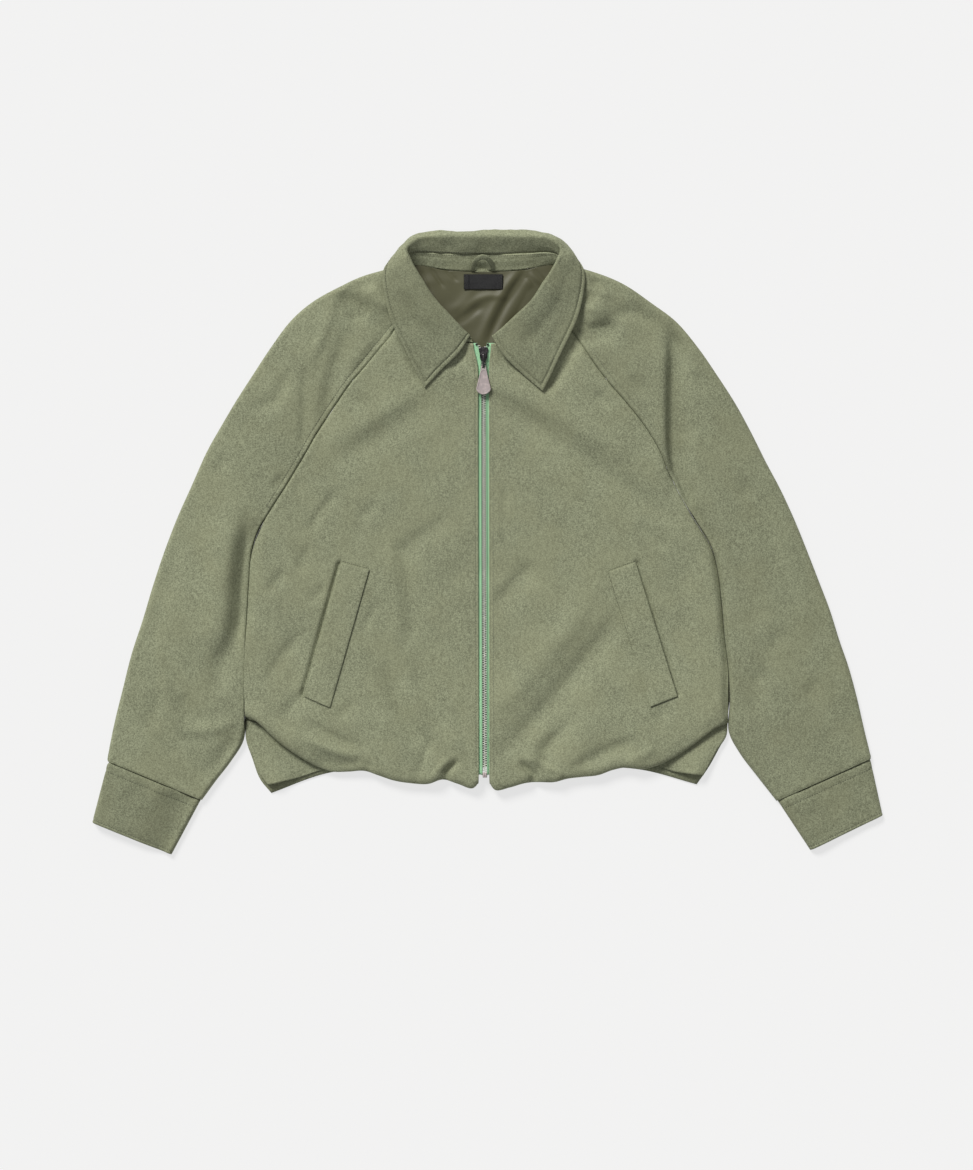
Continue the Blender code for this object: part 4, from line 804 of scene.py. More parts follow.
def shade(colour, factor, warm=0.0):
    """A colour made lighter or darker, and a little warmer or cooler."""
    red, green, blue = (min(c * factor, 1.0) for c in colour)
    return red * (1 + warm), green, blue * (1 - 1.6 * warm), 1.0


def suede_finish(name, colour, darker=1.0, painted_shade_in_front=False):
    """Brushed suede: soft rubbed patches, a mottled pile in short slanted strokes and fine fibre; the whole
    colour can be scaled as painted light or painted shade, and painted darker in front of the neck as painted
    shade.
    """
    finish = Finish(name, 0.92, Sheen_Weight=0.16, Sheen_Roughness=0.45,
                    Sheen_Tint=(0.78, 0.80, 0.62, 1.0), Specular_IOR_Level=0.12)
    where = finish.place()
    broad = finish.noise(where, 0.040, 2.0, 0.5)
    rubbed = finish.noise(where, 0.016, 3.0, 0.6)
    rising = finish.noise(finish.place((1.0, 0.5, 1.0), 0.62), 0.0030, 2.0, 0.6)
    falling = finish.noise(finish.place((1.0, 0.5, 1.0), -0.75), 0.0027, 2.0, 0.6)
    speck = finish.noise(where, 0.0016, 2.0, 0.6)
    fibre = finish.noise(where, 0.0009, 2.0, 0.6)
    tone = (0.5 + (broad - 0.5) * 0.34 + (rubbed - 0.5) * 0.26 + (rising - 0.5) * 0.60
            + (falling - 0.5) * 0.60 + (speck - 0.5) * 2.2 + (fibre - 0.5) * 1.9)
    # painted shade or painted light: the colour of a whole piece is scaled by this factor
    base = [c * darker for c in colour]
    paint = finish.tint(tone, shade(base, 0.62, 0.010), shade(base, 1.38, -0.006))
    hue = finish.clamp(finish.noise(where, 0.045, 2.0), 0.35, 0.7)
    paint = finish.tint(hue * 0.30, paint, shade(base, 1.02, 0.045))
    # painted shade: the collar is painted 16% darker in front of Y 0.300 m, fading to its own colour by Y
    # 0.335 m behind the neck
    if painted_shade_in_front:
        depth = finish.node("ShaderNodeSeparateXYZ", {}, {"Vector": where}, "Y")
        painted_shade_paint = finish.tint(0.16, paint, (0.0, 0.0, 0.0, 1.0))
        paint = finish.tint(finish.clamp(depth, 0.300, 0.335), painted_shade_paint, paint)
    finish.colour(paint)
    finish.roughness(0.86 + (rubbed - 0.5) * 0.12 + (speck - 0.5) * 0.10)
    finish.bump(speck * 0.55 + rising * 0.35 + falling * 0.35 + fibre * 0.3 + rubbed * 0.35, 0.6, 0.0006)
    return finish.material


def lining_finish(name, colour):
    """Satin lining: a smooth twill with a soft shine."""
    finish = Finish(name, 0.46, Sheen_Weight=0.10, Sheen_Roughness=0.3, Sheen_Tint=(0.6, 0.6, 0.4, 1.0))
    where = finish.place()
    drift = finish.noise(where, 0.03, 3.0)
    twill = finish.wave(where, "DIAGONAL", 520.0, 0.6)
    paint = finish.tint(drift * 0.7 + twill * 0.3, shade(colour, 0.84), shade(colour, 1.18, 0.02))
    finish.colour(paint)
    finish.roughness(0.42 + drift * 0.14)
    finish.bump(twill * 0.4 + drift * 0.6, 0.25, 0.0003)
    return finish.material


def woven_finish(name, colour, rib, roughness, contrast, sheen=0.15):
    """Ribbed weave, for the zip tapes and the label."""
    finish = Finish(name, roughness, Sheen_Weight=sheen, Sheen_Roughness=0.4, Specular_IOR_Level=0.3)
    where = finish.place()
    across = finish.wave(where, "Y", 1.0 / rib, 0.8)
    along = finish.wave(where, "X", 1.0 / rib, 0.5)
    fleck = finish.noise(where, 0.0012, 2.0)
    weave = across * 0.5 + along * 0.3 + fleck * 0.3
    finish.colour(finish.tint(weave, shade(colour, 1.0 - contrast), shade(colour, 1.0 + contrast)))
    finish.roughness(roughness - 0.08 + fleck * 0.12)
    finish.bump(weave, 0.5, 0.0003)
    return finish.material


def thread_finish(name, colour):
    """Twisted sewing thread."""
    finish = Finish(name, 0.62, Sheen_Weight=0.2)
    where = finish.place((1.0, 1.0, 1.0), 0.7)
    ply = finish.wave(where, "X", 900.0, 0.4, 0.0)
    finish.colour(finish.tint(ply, shade(colour, 0.8), shade(colour, 1.25)))
    finish.bump(ply, 0.4, 0.0001)
    return finish.material


def metal_finish(name, colour, roughness, worn, metallic=1.0):
    """Plated metal with rubbed spots and fine scratches."""
    finish = Finish(name, roughness, metallic)
    where = finish.place()
    spots = finish.noise(where, 0.0042, 4.0, 0.6)
    scratches = finish.noise(finish.place((0.25, 1.0, 1.0), 0.9), 0.0005, 2.0, 0.6)
    rubbed = finish.clamp(spots, 0.42, 0.68)
    finish.colour(finish.tint(rubbed, shade(colour, 0.86), shade(colour, worn, 0.01)))
    finish.roughness(roughness + (scratches - 0.5) * 0.22 + rubbed * 0.06)
    finish.bump(scratches * 0.5 + spots * 0.5, 0.22, 0.0002)
    return finish.material


def floor_finish(name, colour):
    """Plain pale floor with a faint grain and a glow of its own."""
    finish = Finish(name, 0.95, Specular_IOR_Level=0.0)
    where = finish.place()
    grain = finish.noise(where, 0.004, 3.0)
    cloud = finish.noise(where, 0.35, 2.0)
    finish.colour(finish.tint(grain * 0.5 + cloud * 0.5, shade(colour, 0.992), shade(colour, 1.008)))
    finish.shader.inputs["Emission Color"].default_value = (1.0, 1.0, 1.0, 1.0)
    finish.shader.inputs["Emission Strength"].default_value = FLOOR_GLOW
    return finish.material


def finish_named(name):
    """The named finish, made the first time that a piece asks for it."""
    found = bpy.data.materials.get(name)
    if found:
        return found
    colours = bpy.context.scene.blouson_colours
    makers = {
        "suede cloth": lambda: suede_finish(name, colours.suede),
        # painted shade: the collar's suede is painted darker in front of the neck
        "collar suede painted shade in front": lambda: suede_finish(name, colours.suede, 1.0, painted_shade_in_front=True),
        # painted light: the stand's suede is painted 22% lighter
        "stand suede painted light": lambda: suede_finish(name, colours.suede, 1.22),
        # painted shade: the cuffs' suede is painted 15% darker
        "cuff suede painted shade": lambda: suede_finish(name, colours.suede, 0.85),
        # painted shade: the right sleeve's suede is painted 8% darker
        "right sleeve suede painted shade": lambda: suede_finish(name, colours.suede, 0.92),
        "satin lining": lambda: lining_finish(name, colours.lining),
        "woven tape": lambda: woven_finish(name, colours.tape, 0.00022, 0.72, 0.14),
        # painted shade: the cord is the tape's colour painted 22% darker
        "tape cord painted shade": lambda: woven_finish(name, [c * 0.78 for c in colours.tape], 0.0003, 0.75, 0.2),
        "woven label": lambda: woven_finish(name, colours.label, 0.00012, 0.62, 0.3, 0.0),
        "sewing thread": lambda: thread_finish(name, colours.thread),
        "matched thread": lambda: thread_finish(name, [c * 0.62 for c in colours.suede]),
        "gunmetal": lambda: metal_finish(name, colours.dark_metal, 0.30, 1.7),
        "tooth metal": lambda: metal_finish(name, colours.teeth, 0.40, 1.15, 0.35),
        "rosy metal": lambda: metal_finish(name, colours.pale_metal, 0.45, 1.10, 0.22),
        "pale floor": lambda: floor_finish(name, bpy.context.scene.blouson_stage.floor),
    }
    return makers[name]()


# ---------------------------------------------------------------- making pieces

def smooth_faces(bm):
    """Shade every face smoothly."""
    for face in bm.faces:
        face.smooth = True


def as_mesh(bm, name):
    """The bmesh as a new mesh."""
    mesh = bpy.data.meshes.new(name)
    bm.to_mesh(mesh)
    bm.free()
    return mesh


def as_object(bm, name, finish):
    """The bmesh, in metres, as an object of the scene with its finish."""
    mesh = as_mesh(bm, name)
    mesh.materials.append(finish_named(finish))
    made = bpy.data.objects.new(name, mesh)
    bpy.context.scene.collection.objects.link(made)
    return made


def add_piece(name, bm, finish, body, nodes=()):
    """Write a bmesh in metres as a piece that rides on a body."""
    piece = as_object(bm, name, finish)
    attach(piece, body)
    if nodes:
        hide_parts(*nodes)
    return piece


def add_cloth(name, columns, rows, place, wall, finish, nodes, flip=False,
              relief=None):
    """A cloth shell: a grid placed by column and row, moved along its normals by the relief."""
    bm = bmesh.new()
    bmesh.ops.create_grid(bm, x_segments=columns, y_segments=rows, size=0.5)
    spots = []
    for vert in bm.verts:
        column = round((vert.co.x + 0.5) * columns)
        row = round((vert.co.y + 0.5) * rows)
        spots.append((vert, column, row))
        vert.co = Vector(place(column, row)) * MM
    if flip:
        bmesh.ops.reverse_faces(bm, faces=bm.faces)
    bm.normal_update()
    if relief:
        moves = [(vert, vert.normal * (relief(column, row) * MM)) for vert, column, row in spots]
        for vert, move in moves:
            vert.co += move
            vert.co.z = max(vert.co.z, 0.0)
    SHELLS[name] = BVHTree.FromBMesh(bm)
    smooth_faces(bm)
    piece = add_piece(name, bm, finish, "jacket", nodes)
    solid = piece.modifiers.new("wall", "SOLIDIFY")
    solid.thickness = wall * MM
    solid.offset = -1.0
    solid.use_rim = True
    return piece


def repeat_mesh(bm, mesh, places):
    """Add a small mesh to the bmesh at each place, then remove the small mesh."""
    for place in places:
        mesh.transform(place)
        bm.from_mesh(mesh)
        mesh.transform(place.inverted())
    bpy.data.meshes.remove(mesh)


def gathers(along, across, seed):
    """Small uneven gathers beside a topstitch, from -1 to 1."""
    spot = Vector((along / 7.0, seed, across / 14.0))
    return noise.noise(spot) * 1.6


# ---------------------------------------------------------------- cloth pieces

def sewn_relief(distance, along, seed, topstitched):
    """Dip at a sewn seam, the channel of its topstitch and the gathers beside both."""
    settings = bpy.context.scene.blouson_cloth
    dip = -settings.seam_dip * bell(distance, SEAM_WIDTH)
    channel = -0.55 * settings.stitch_dip * bell(distance, 0.85, TOPSTITCH) * topstitched
    gather = settings.pucker * gathers(along, distance, seed) * bell(distance, 10.0)
    return (dip + channel + gather) / MM


def make_back():
    """The back panel, flat on the surface from the neck to its hem."""
    rows, tail_rows, columns = 96, 18, 84
    body_rows = rows - tail_rows

    def side_points(table, tail):
        points = []
        for row in range(body_rows + 1):
            station = SIDE_STATIONS * row / body_rows
            points.append(seam_point(table, station, 4, seam_gap(station) / 2.0))
        path = (points[-1],) + tail
        return points + [smooth_row(path, k / tail_rows) for k in range(1, tail_rows + 1)]

    left = side_points(SLEEVE_LEFT, BACK_SIDE_LEFT)
    right = side_points(SLEEVE_RIGHT, BACK_SIDE_RIGHT)
    tops = [smooth_row(BACK_NECK, c / columns) for c in range(columns + 1)]
    lows = [smooth_row(BACK_HEM, c / columns) for c in range(columns + 1)]
    corners = (tops[0], tops[-1], lows[0], lows[-1])

    def place(column, row):
        x, y = patch_point(tops[column], lows[column], left[row], right[row], corners,
                           column / columns, row / rows)
        inside = ease(min(column, columns - column) / 6.0) * ease(min(row, rows - row) / 8.0)
        return x, y, max(0.0, fold_sum(BACK_FOLD_LIST, x, y)) * inside

    add_cloth("back_cloth", columns, rows, place, SUEDE_WALL, "suede cloth", ["back"])


def front_shape(side):
    """Rows of points over one front, from the neck down to the edge that is rolled under."""
    sign = -1.0 if side == "left" else 1.0
    table, neck, hem = ((SLEEVE_LEFT, NECK_LEFT, HEM_LEFT) if side == "left"
                        else (SLEEVE_RIGHT, NECK_RIGHT, HEM_RIGHT))
    zip_edge_top = (ZIP_TOP[0] + sign * ZIP_OPENING / 2.0, neck[0][1])
    hem_start = hem[0]
    main_rows, middle = 170, 124
    roll_angles = [90 - 12 * k for k in range(1, 16)]

    def inward(u):
        lean = ease((u - 0.55) / 0.37) * (1.0 - ease((u - 0.93) / 0.07))
        return Vector((-sign * 0.62 * lean, 1.0)).normalized()

    def bottom(u):
        x, y = Vector(smooth_row(hem, u)) + inward(u) * HEM_ROLL
        return x, y

    def zip_side(v):
        x, y = mix(zip_edge_top, (hem_start[0], hem_start[1] + HEM_ROLL), v)
        return x + sign * zip_flare(side, y), y

    drop = Vector(bottom(1.0)) - Vector(seam_point(table, SIDE_STATIONS, 2, SIDE_GAP / 2.0))

    def sleeve_side(v):
        station = v * SIDE_STATIONS
        edge = seam_point(table, station, 2, seam_gap(station) / 2.0)
        return tuple(Vector(edge) + drop * ease((v - 0.94) / 0.06))

    def side_low(v):
        return FRONT_EDGE_LOW + 2.3 * ease((v - 0.86) / 0.10)

    corners = (smooth_row(neck, 0.0), smooth_row(neck, 1.0), bottom(0.0), bottom(1.0))
    grid, across = [], []
    for row in range(main_rows + 1):
        v = row / main_rows
        start, end = zip_side(v), sleeve_side(v)
        width = math.dist(start, end)
        distances = spaced(width, FOLD_STEPS, TURN_STEPS, middle)
        shut = closed_share(v * SIDE_STATIONS) * (1.0 - meeting(side, v * SIDE_STATIONS))
        line = []
        for distance in distances:
            u = distance / width
            x, y = patch_point(smooth_row(neck, u), bottom(u), start, end, corners, u, v)
            calm = ease((distance - 3.0) / 16.0)
            height = cloth_height(x, y, front_base(y), calm)
            low = side_low(v) + (height - side_low(v)) * turned(width - distance, BODY_TURN)
            line.append((x, y, height + (low - height) * shut))
        grid.append(line)
        across.append((width, distances, v))
    last, width = grid[-1], across[-1][0]
    steps = len(roll_angles) + len(HEM_UNDER)
    for k in range(1, steps + 1):
        line = []
        for point, distance in zip(last, across[main_rows][1]):
            u = distance / width
            edge, height = Vector(smooth_row(hem, u)), point[2]
            half = (height - HEM_ROLL_LOW) / 2.0
            if k <= len(roll_angles):
                a = math.radians(roll_angles[k - 1])
                reach = HEM_ROLL - HEM_ROLL * math.cos(a)
                z = HEM_ROLL_LOW + half + half * math.sin(a)
            else:
                reach = HEM_ROLL + HEM_UNDER[k - len(roll_angles) - 1]
                z = HEM_ROLL_LOW
            q = k / steps
            open_reach = HEM_ROLL * (1.0 - q)
            open_z = side_low(1.0) + (height - side_low(1.0)) * math.sqrt(1.0 - q * q)
            full = ease((width - distance) / HEM_UNROLL)
            x, y = edge + inward(u) * (open_reach + (reach - open_reach) * full)
            line.append((x, y, open_z + (z - open_z) * full))
        grid.append(line)
        across.append(across[main_rows])
    return grid, across


def make_fronts():
    """Both fronts: open to the sleeve at the raglan seam, turned down at the side and rolled at the hem."""
    settings = bpy.context.scene.blouson_cloth
    for side, seed in (("left", 11.0), ("right", 23.0)):
        grid, across = front_shape(side)

        def relief(column, row, grid=grid, across=across, seed=seed):
            width, distances, v = across[row]
            x, y, _ = grid[row][column]
            to_seam, to_zip = width - distances[column], distances[column]
            seam = sewn_relief(to_seam, y - x, seed, 0.0) * (1.0 - closed_share(v * SIDE_STATIONS))
            seam += crease_sum(SLIT_LIST, x, y, True)
            edge = (-0.35 * bell(to_zip, 0.7)
                    - settings.stitch_dip / MM * 0.6 * bell(to_zip, 0.8, ZIP_TOPSTITCH)
                    + 0.6 * settings.pucker / MM * gathers(y, to_zip, seed + 3.0)
                    * bell(to_zip, 7.0))
            return seam + edge

        add_cloth(f"front_{side}_cloth", len(grid[0]) - 1, len(grid) - 1,
                  lambda c, r, grid=grid: grid[r][c], SUEDE_WALL, "suede cloth", [f"front_{side}"],
                  flip=side == "right", relief=relief)


def sleeve_line(outer, inner, back, shut, height_at, near, front_steps, back_steps):
    """Points round one sleeve section: front layer outwards, the outer turn, back layer inwards."""
    reach = Vector(outer) - Vector(inner)
    width = reach.length
    reach.normalize()
    last = width - OUTER_TURN
    distances = list(near) + [near[-1] + (last - near[-1]) * k / front_steps
                              for k in range(1, front_steps + 1)]
    points = []
    for distance in distances:
        x, y = Vector(inner) + reach * distance
        top = height_at(x, y, distance / width)
        low = FRONT_EDGE_LOW + (top - FRONT_EDGE_LOW) * turned(distance, SLEEVE_TURN)
        points.append((x, y, top + (low - top) * shut))
    half = points[-1][2] / 2.0
    for angle in OUTER_ANGLES:
        a = math.radians(angle)
        x, y = Vector(inner) + reach * (last + OUTER_TURN * math.cos(a))
        points.append((x, y, half + half * math.sin(a)))
    floor_start = points[-1]
    for k in range(1, back_steps + 1):
        x, y = mix(floor_start[:2], back, k / back_steps)
        points.append((x, y, 0.0))
    return points, distances


def make_sleeves():
    """Both raglan sleeves: one layer open at its seams, which lies down on its own back half."""
    settings = bpy.context.scene.blouson_cloth
    stations = [k / 7.0 for k in range(137)] + [19.62, 19.72, 19.80, 19.86, 19.91, 19.95, 19.98, 20.0]
    # the right sleeve takes the suede painted 8% darker, as painted shade
    for side, table, seed, sleeve_suede in (("left", SLEEVE_LEFT, 41.0, "suede cloth"),
                                   ("right", SLEEVE_RIGHT, 57.0, "right sleeve suede painted shade")):
        lines, spots = [], []
        for station in stations:
            gap = seam_gap(station) / 2.0
            outer = smooth_row(table, station / STATIONS)[:2]
            inner = seam_point(table, station, 2, -gap)
            back = seam_point(table, station, 4, -gap)
            taper = ease((station - STATIONS + 3.5) / 3.5)

            def height_at(x, y, share, taper=taper, station=station):
                rise = SLEEVE_RISE * math.sin(math.pi * share) * ease(station / 6.0)
                full = cloth_height(x, y, CHEST_HEIGHT + rise)
                return full + (CUFF_HEIGHT + 0.9 - full) * taper * 0.96

            shut = closed_share(station) * (1.0 - meeting(side, station))
            points, distances = sleeve_line(outer, inner, back, shut, height_at, SEWN_STEPS, 72, 10)
            lines.append(points)
            spots.append(distances)
        shown = 9.2 if side == "left" else 8.2

        def relief(column, row, lines=lines, spots=spots, seed=seed, shown=shown):
            station = stations[row]
            x, y, z = lines[row][column]
            to_cuff = (STATIONS - station) * 27.0
            end = -0.8 * bell(to_cuff, 1.5) * (1.0 if z > 2.5 else 0.0)
            end += (settings.pucker / MM * gathers(x - y, to_cuff, seed + 5.0)
                    * bell(to_cuff, 12.0) * (1.0 if z > 4.0 else 0.0))
            if column >= len(spots[row]):
                return end
            topstitched = ease((shown - station) / 0.5)
            seam = sewn_relief(spots[row][column], y - x, seed, topstitched) * (1.0 - closed_share(station))
            return seam + end

        add_cloth(f"sleeve_{side}_cloth", len(lines[0]) - 1, len(lines) - 1,
                  lambda c, r, lines=lines: lines[r][c], SUEDE_WALL, sleeve_suede,
                  [f"sleeve_{side}"], flip=side == "right", relief=relief)


def cuff_frame(side):
    """Outer and inner corners of a cuff at its seam and at its end."""
    table = SLEEVE_LEFT if side == "left" else SLEEVE_RIGHT
    return (Vector(table[-1][:2]), Vector(table[-1][2:4]), Vector(CUFF_END[side][:2]),
            Vector(CUFF_END[side][2:]))


def make_cuffs():
    """Sewn cuff bands, flat like the sleeves, with a topstitch near the end."""
    settings = bpy.context.scene.blouson_cloth
    for side, seed in (("left", 71.0), ("right", 83.0)):
        outer_top, inner_top, outer_end, inner_end = cuff_frame(side)
        length = (outer_end - outer_top).length
        start = SEAM_GAP + 0.2
        downs = spaced(length, [start + s for s in SEWN_STEPS],
                       (0.0, 0.3, 0.7, 1.2, 1.9, 2.7, 3.5, 4.4, 6.0), 22)
        lines, widths = [], []
        for down in downs:
            along = down / length
            outer = outer_top.lerp(outer_end, along)
            inner = inner_top.lerp(inner_end, along)
            outer = outer.lerp(inner, 0.012)
            inner = inner.lerp(outer, 0.012)

            def height_at(x, y, share, along=along, side=side):
                ripple = 1.5 * noise.noise(Vector((x / 21.0, y / 21.0, 9.0)))
                step = CUFF_STEP[side] * (ease((share - 0.10) / 0.36) - 0.5) * ease(share * 9.0)
                return CUFF_HEIGHT + step + (0.9 * math.sin(math.pi * share) + ripple * ease(share * 6.0)
                                             * ease((1.0 - share) * 6.0)) * (1.0 - 0.5 * along)

            points, distances = sleeve_line(outer, inner, inner, 1.0, height_at, TURN_STEPS, 30, 10)
            for k, (x, y, z) in enumerate(points[:len(distances)]):
                points[k] = (x, y, max(z, CUFF_WALL + SEAM_GAP + 0.8))
            lines.append(points)
            widths.append(len(distances))

        def relief(column, row, lines=lines, downs=downs, widths=widths, length=length, seed=seed):
            x, y, z = lines[row][column]
            if z < 3.4:
                return 0.0
            from_seam, to_end = downs[row] - start, length - downs[row]
            dip = -1.2 * bell(from_seam, 1.5) - 0.55 * bell(to_end, 0.7)
            both = bell(to_end, 0.8, CUFF_END_STITCH) + 1.5 * bell(from_seam, 0.9, CUFF_TOPSTITCH)
            channel = -settings.stitch_dip / MM * both
            near_ends = bell(from_seam, 9.0) + bell(to_end, 7.0)
            return dip + channel + settings.pucker / MM * gathers(x - y, from_seam, seed) * near_ends

        # the cuffs take the suede painted darker, as painted shade
        add_cloth(f"cuff_{side}_cloth", len(lines[0]) - 1, len(lines) - 1,
                  lambda c, r, lines=lines: lines[r][c], CUFF_WALL, "cuff suede painted shade", [f"cuff_{side}"],
                  flip=side == "right", relief=relief)


def make_hem_bands():
    """Front hem bands: they lie on the back under the roll and show at the sides."""
    columns, rows = 72, 26
    for side, band in (("left", BAND_LEFT), ("right", BAND_RIGHT)):
        sign = -1.0 if side == "left" else 1.0
        zip_corner = (sign * 12.0 - 4.0, -226.0)
        corners = (band[0], zip_corner, band[BAND_CORNER], band[-1])
        sides = [smooth_row(band[:BAND_CORNER + 1], r / rows) for r in range(rows + 1)]
        lows = [smooth_row(band[BAND_CORNER:], c / columns) for c in range(columns + 1)]

        def place(column, row, band=band, zip_corner=zip_corner, corners=corners, sides=sides, lows=lows):
            u, v = column / columns, row / rows
            x, y = patch_point(mix(band[0], zip_corner, u), lows[column], sides[row],
                               mix(zip_corner, band[-1], v), corners, u, v)
            lift = BAND_LIFT * v * ease(1.0 - 2.2 * u) * ease(4.0 * u + 0.5)
            lift += 0.35 * v * (1.0 + noise.noise(Vector((x / 17.0, y / 17.0, 5.0))))
            y += BAND_STEP * v ** 3 * ease(1.0 - 2.2 * u)
            return x, y, SUEDE_WALL * 2 + SEAM_GAP + lift

        add_cloth(f"hem_{side}_cloth", columns, rows, place, SUEDE_WALL, "suede cloth",
                  [f"hem_{side}"], flip=side == "left")


def collar_points(t):
    """Neck, roll, belly, lower belly and free edge at t from 0, left front end, to 1, right front end."""
    half = 1.0 - abs(2.0 * t - 1.0)
    row = list(smooth_row(COLLAR, half))
    points = [Vector(row[k:k + 3]) for k in range(0, 15, 3)]
    if t > 0.5:
        for point, share in zip(points, (0.0, 1.0, 0.2, 0.0, 0.0)):
            point.x = 2.0 * COLLAR_MIDDLE - point.x + row[15] * share
    near_end = 1.0 - ease(half / COLLAR_END_SHARE)
    for point, (x, y) in zip(points, COLLAR_ENDS["left" if t <= 0.5 else "right"]):
        point.x += x * near_end
        point.y += y * near_end
    behind = ease((half - 0.56) / 0.12)
    for point in points[2:]:
        floor = solid_height(point.x, point.y) + COLLAR_WALL + 0.9
        point.z = max(point.z, floor) * (1.0 - behind) + point.z * behind
    return points


def collar_section(t, roll_steps, fall_distances):
    """The stand's face as its two ends, and the fall's face from there over the roll to its edge."""
    neck, roll, belly, low_belly, edge = collar_points(t)
    step = 0.5 / 36
    fold = (collar_points(min(t + step, 1.0))[1] - collar_points(max(t - step, 0.0))[1]).normalized()
    up = roll - neck
    up = (up - fold * up.dot(fold)).normalized()
    over = fold.cross(up)
    if over.dot(belly - neck) < 0:
        over = -over
    inward = 1.0 - abs(2.0 * t - 1.0)
    radius = ROLL_RADIUS_END + (ROLL_RADIUS - ROLL_RADIUS_END) * ease(inward / 0.12)
    gap = SEAM_GAP * (1.0 + 2.4 * bell(inward, 0.09, 0.66))
    centre = roll - up * radius
    far = belly - centre
    lean = math.atan2(far.dot(over), far.dot(up))
    end = lean + math.asin(radius / math.hypot(far.dot(up), far.dot(over)))
    arc = []
    for k in range(roll_steps + 1):
        a = end * k / roll_steps
        arc.append(centre + radius * (math.sin(a) * up - math.cos(a) * over))
    seam = neck.lerp(arc[0], 0.5)
    parted = seam + (arc[0] - neck).normalized() * gap
    path = [Vector(smooth_row((arc[-1], belly, low_belly, edge), k / 60)) for k in range(61)]
    lengths = [0.0]
    for first, second in zip(path, path[1:]):
        lengths.append(lengths[-1] + (second - first).length)
    hanging = []
    for distance in spaced(lengths[-1], (0.0,), fall_distances, 24)[1:]:
        k = max(j for j, length in enumerate(lengths) if length <= distance + 1e-9)
        k = min(k, 59)
        share = (distance - lengths[k]) / max(lengths[k + 1] - lengths[k], 1e-9)
        hanging.append(path[k].lerp(path[k + 1], share))
    risers = [parted.lerp(arc[0], s) for s in (0.0, 0.12, 0.26, 0.42, 0.6, 0.8)]
    fall = risers + arc + hanging
    for point in fall:
        point.z = max(point.z, 0.0)
    return neck, seam, fall


def collar_shares():
    """Places along the collar, closer together beside its two front edges."""
    middle = collar_points(0.004)[3] - collar_points(0.0)[3]
    speed = middle.length / 0.004
    near = [step / speed for step in COLLAR_FRONT_STEPS]
    return spaced(1.0, near, near, 128)


def make_collar():
    """Stand and turned-down fall, parted at the seam between them."""
    settings = bpy.context.scene.blouson_cloth
    shares = collar_shares()
    sections = [collar_section(t, 12, COLLAR_EDGE_STEPS) for t in shares]
    columns = len(sections) - 1
    stand_rows = 12

    def stand(column, row):
        neck, seam, _ = sections[column]
        return neck.lerp(seam, row / stand_rows)

    def stand_relief(column, row):
        x, y, z = stand(column, row)
        high = (stand_rows - row) * 0.9
        seam = -0.9 * bell(high, 1.4) - 0.5 * bell(high, 0.7, 3.0)
        wave = 0.9 * noise.noise(Vector((x / 15.0, y / 15.0, z / 15.0)))
        arch = -4.6 * math.exp(-(((x - LOOP_CENTRE[0]) / 8.0) ** 2) - ((y - LOOP_CENTRE[1] - 2.0) / 6.0) ** 2)
        return (seam + wave) * ease(row / 2.0) + arch

    # the stand takes the suede painted lighter, as painted light
    add_cloth("collar_stand_cloth", columns, stand_rows, stand, SUEDE_WALL, "stand suede painted light",
              ["collar_stand"], relief=stand_relief)

    rows = len(sections[0][2]) - 1
    free = [0.0] * (rows + 1)
    for k, step in enumerate(COLLAR_EDGE_STEPS):
        free[rows - k] = step
    for k in range(rows + 1 - len(COLLAR_EDGE_STEPS)):
        free[k] = 40.0
    fronts = [40.0] * (columns + 1)
    for k, step in enumerate(COLLAR_FRONT_STEPS):
        fronts[k] = fronts[columns - k] = step

    def fall_relief(column, row):
        point = sections[column][2][row]
        edge = min(free[row], fronts[column] if row > 12 else 40.0)
        turned_in = -0.55 * bell(edge, 0.8)
        channel = -settings.stitch_dip / MM * 2.4 * bell(edge, 0.9, COLLAR_TOPSTITCH)
        gather = settings.pucker / MM * gathers(point.x + point.y, edge, 91.0) * bell(edge, 8.0)
        seam = -0.5 * bell(row, 1.5)
        behind = ease((point.y - 318.0) / 14.0)
        uneven = ((0.9 + 1.4 * behind) * noise.noise(point / 26.0)
                  + (0.35 + 0.5 * behind) * noise.noise(point / 10.0))
        on_back = 1.0 if point.z > 1.2 else 0.0
        fold = crease_sum(FALL_LIST, point.x, point.y) * ease(edge / 8.0)
        return (turned_in + channel + gather + seam + fold + uneven * ease(edge / 6.0)) * on_back

    # the fall takes the suede painted darker in front of the neck, as painted shade
    add_cloth("collar_fall_cloth", columns, rows, lambda c, r: sections[c][2][r], COLLAR_WALL, "collar suede painted shade in front",
              ["collar_fall"],
              relief=fall_relief)


def lining_height(x, y):
    """The lining lies slack in soft folds behind the neck."""
    top = LINING_TOP[0][1]
    slack = 0.9 + 0.9 * math.sin(0.075 * (x + 0.35 * y)) * ease((top - y) / 25.0)
    return LINING_BASE + LINING_WALL + slack * ease((top - y) / 14.0)


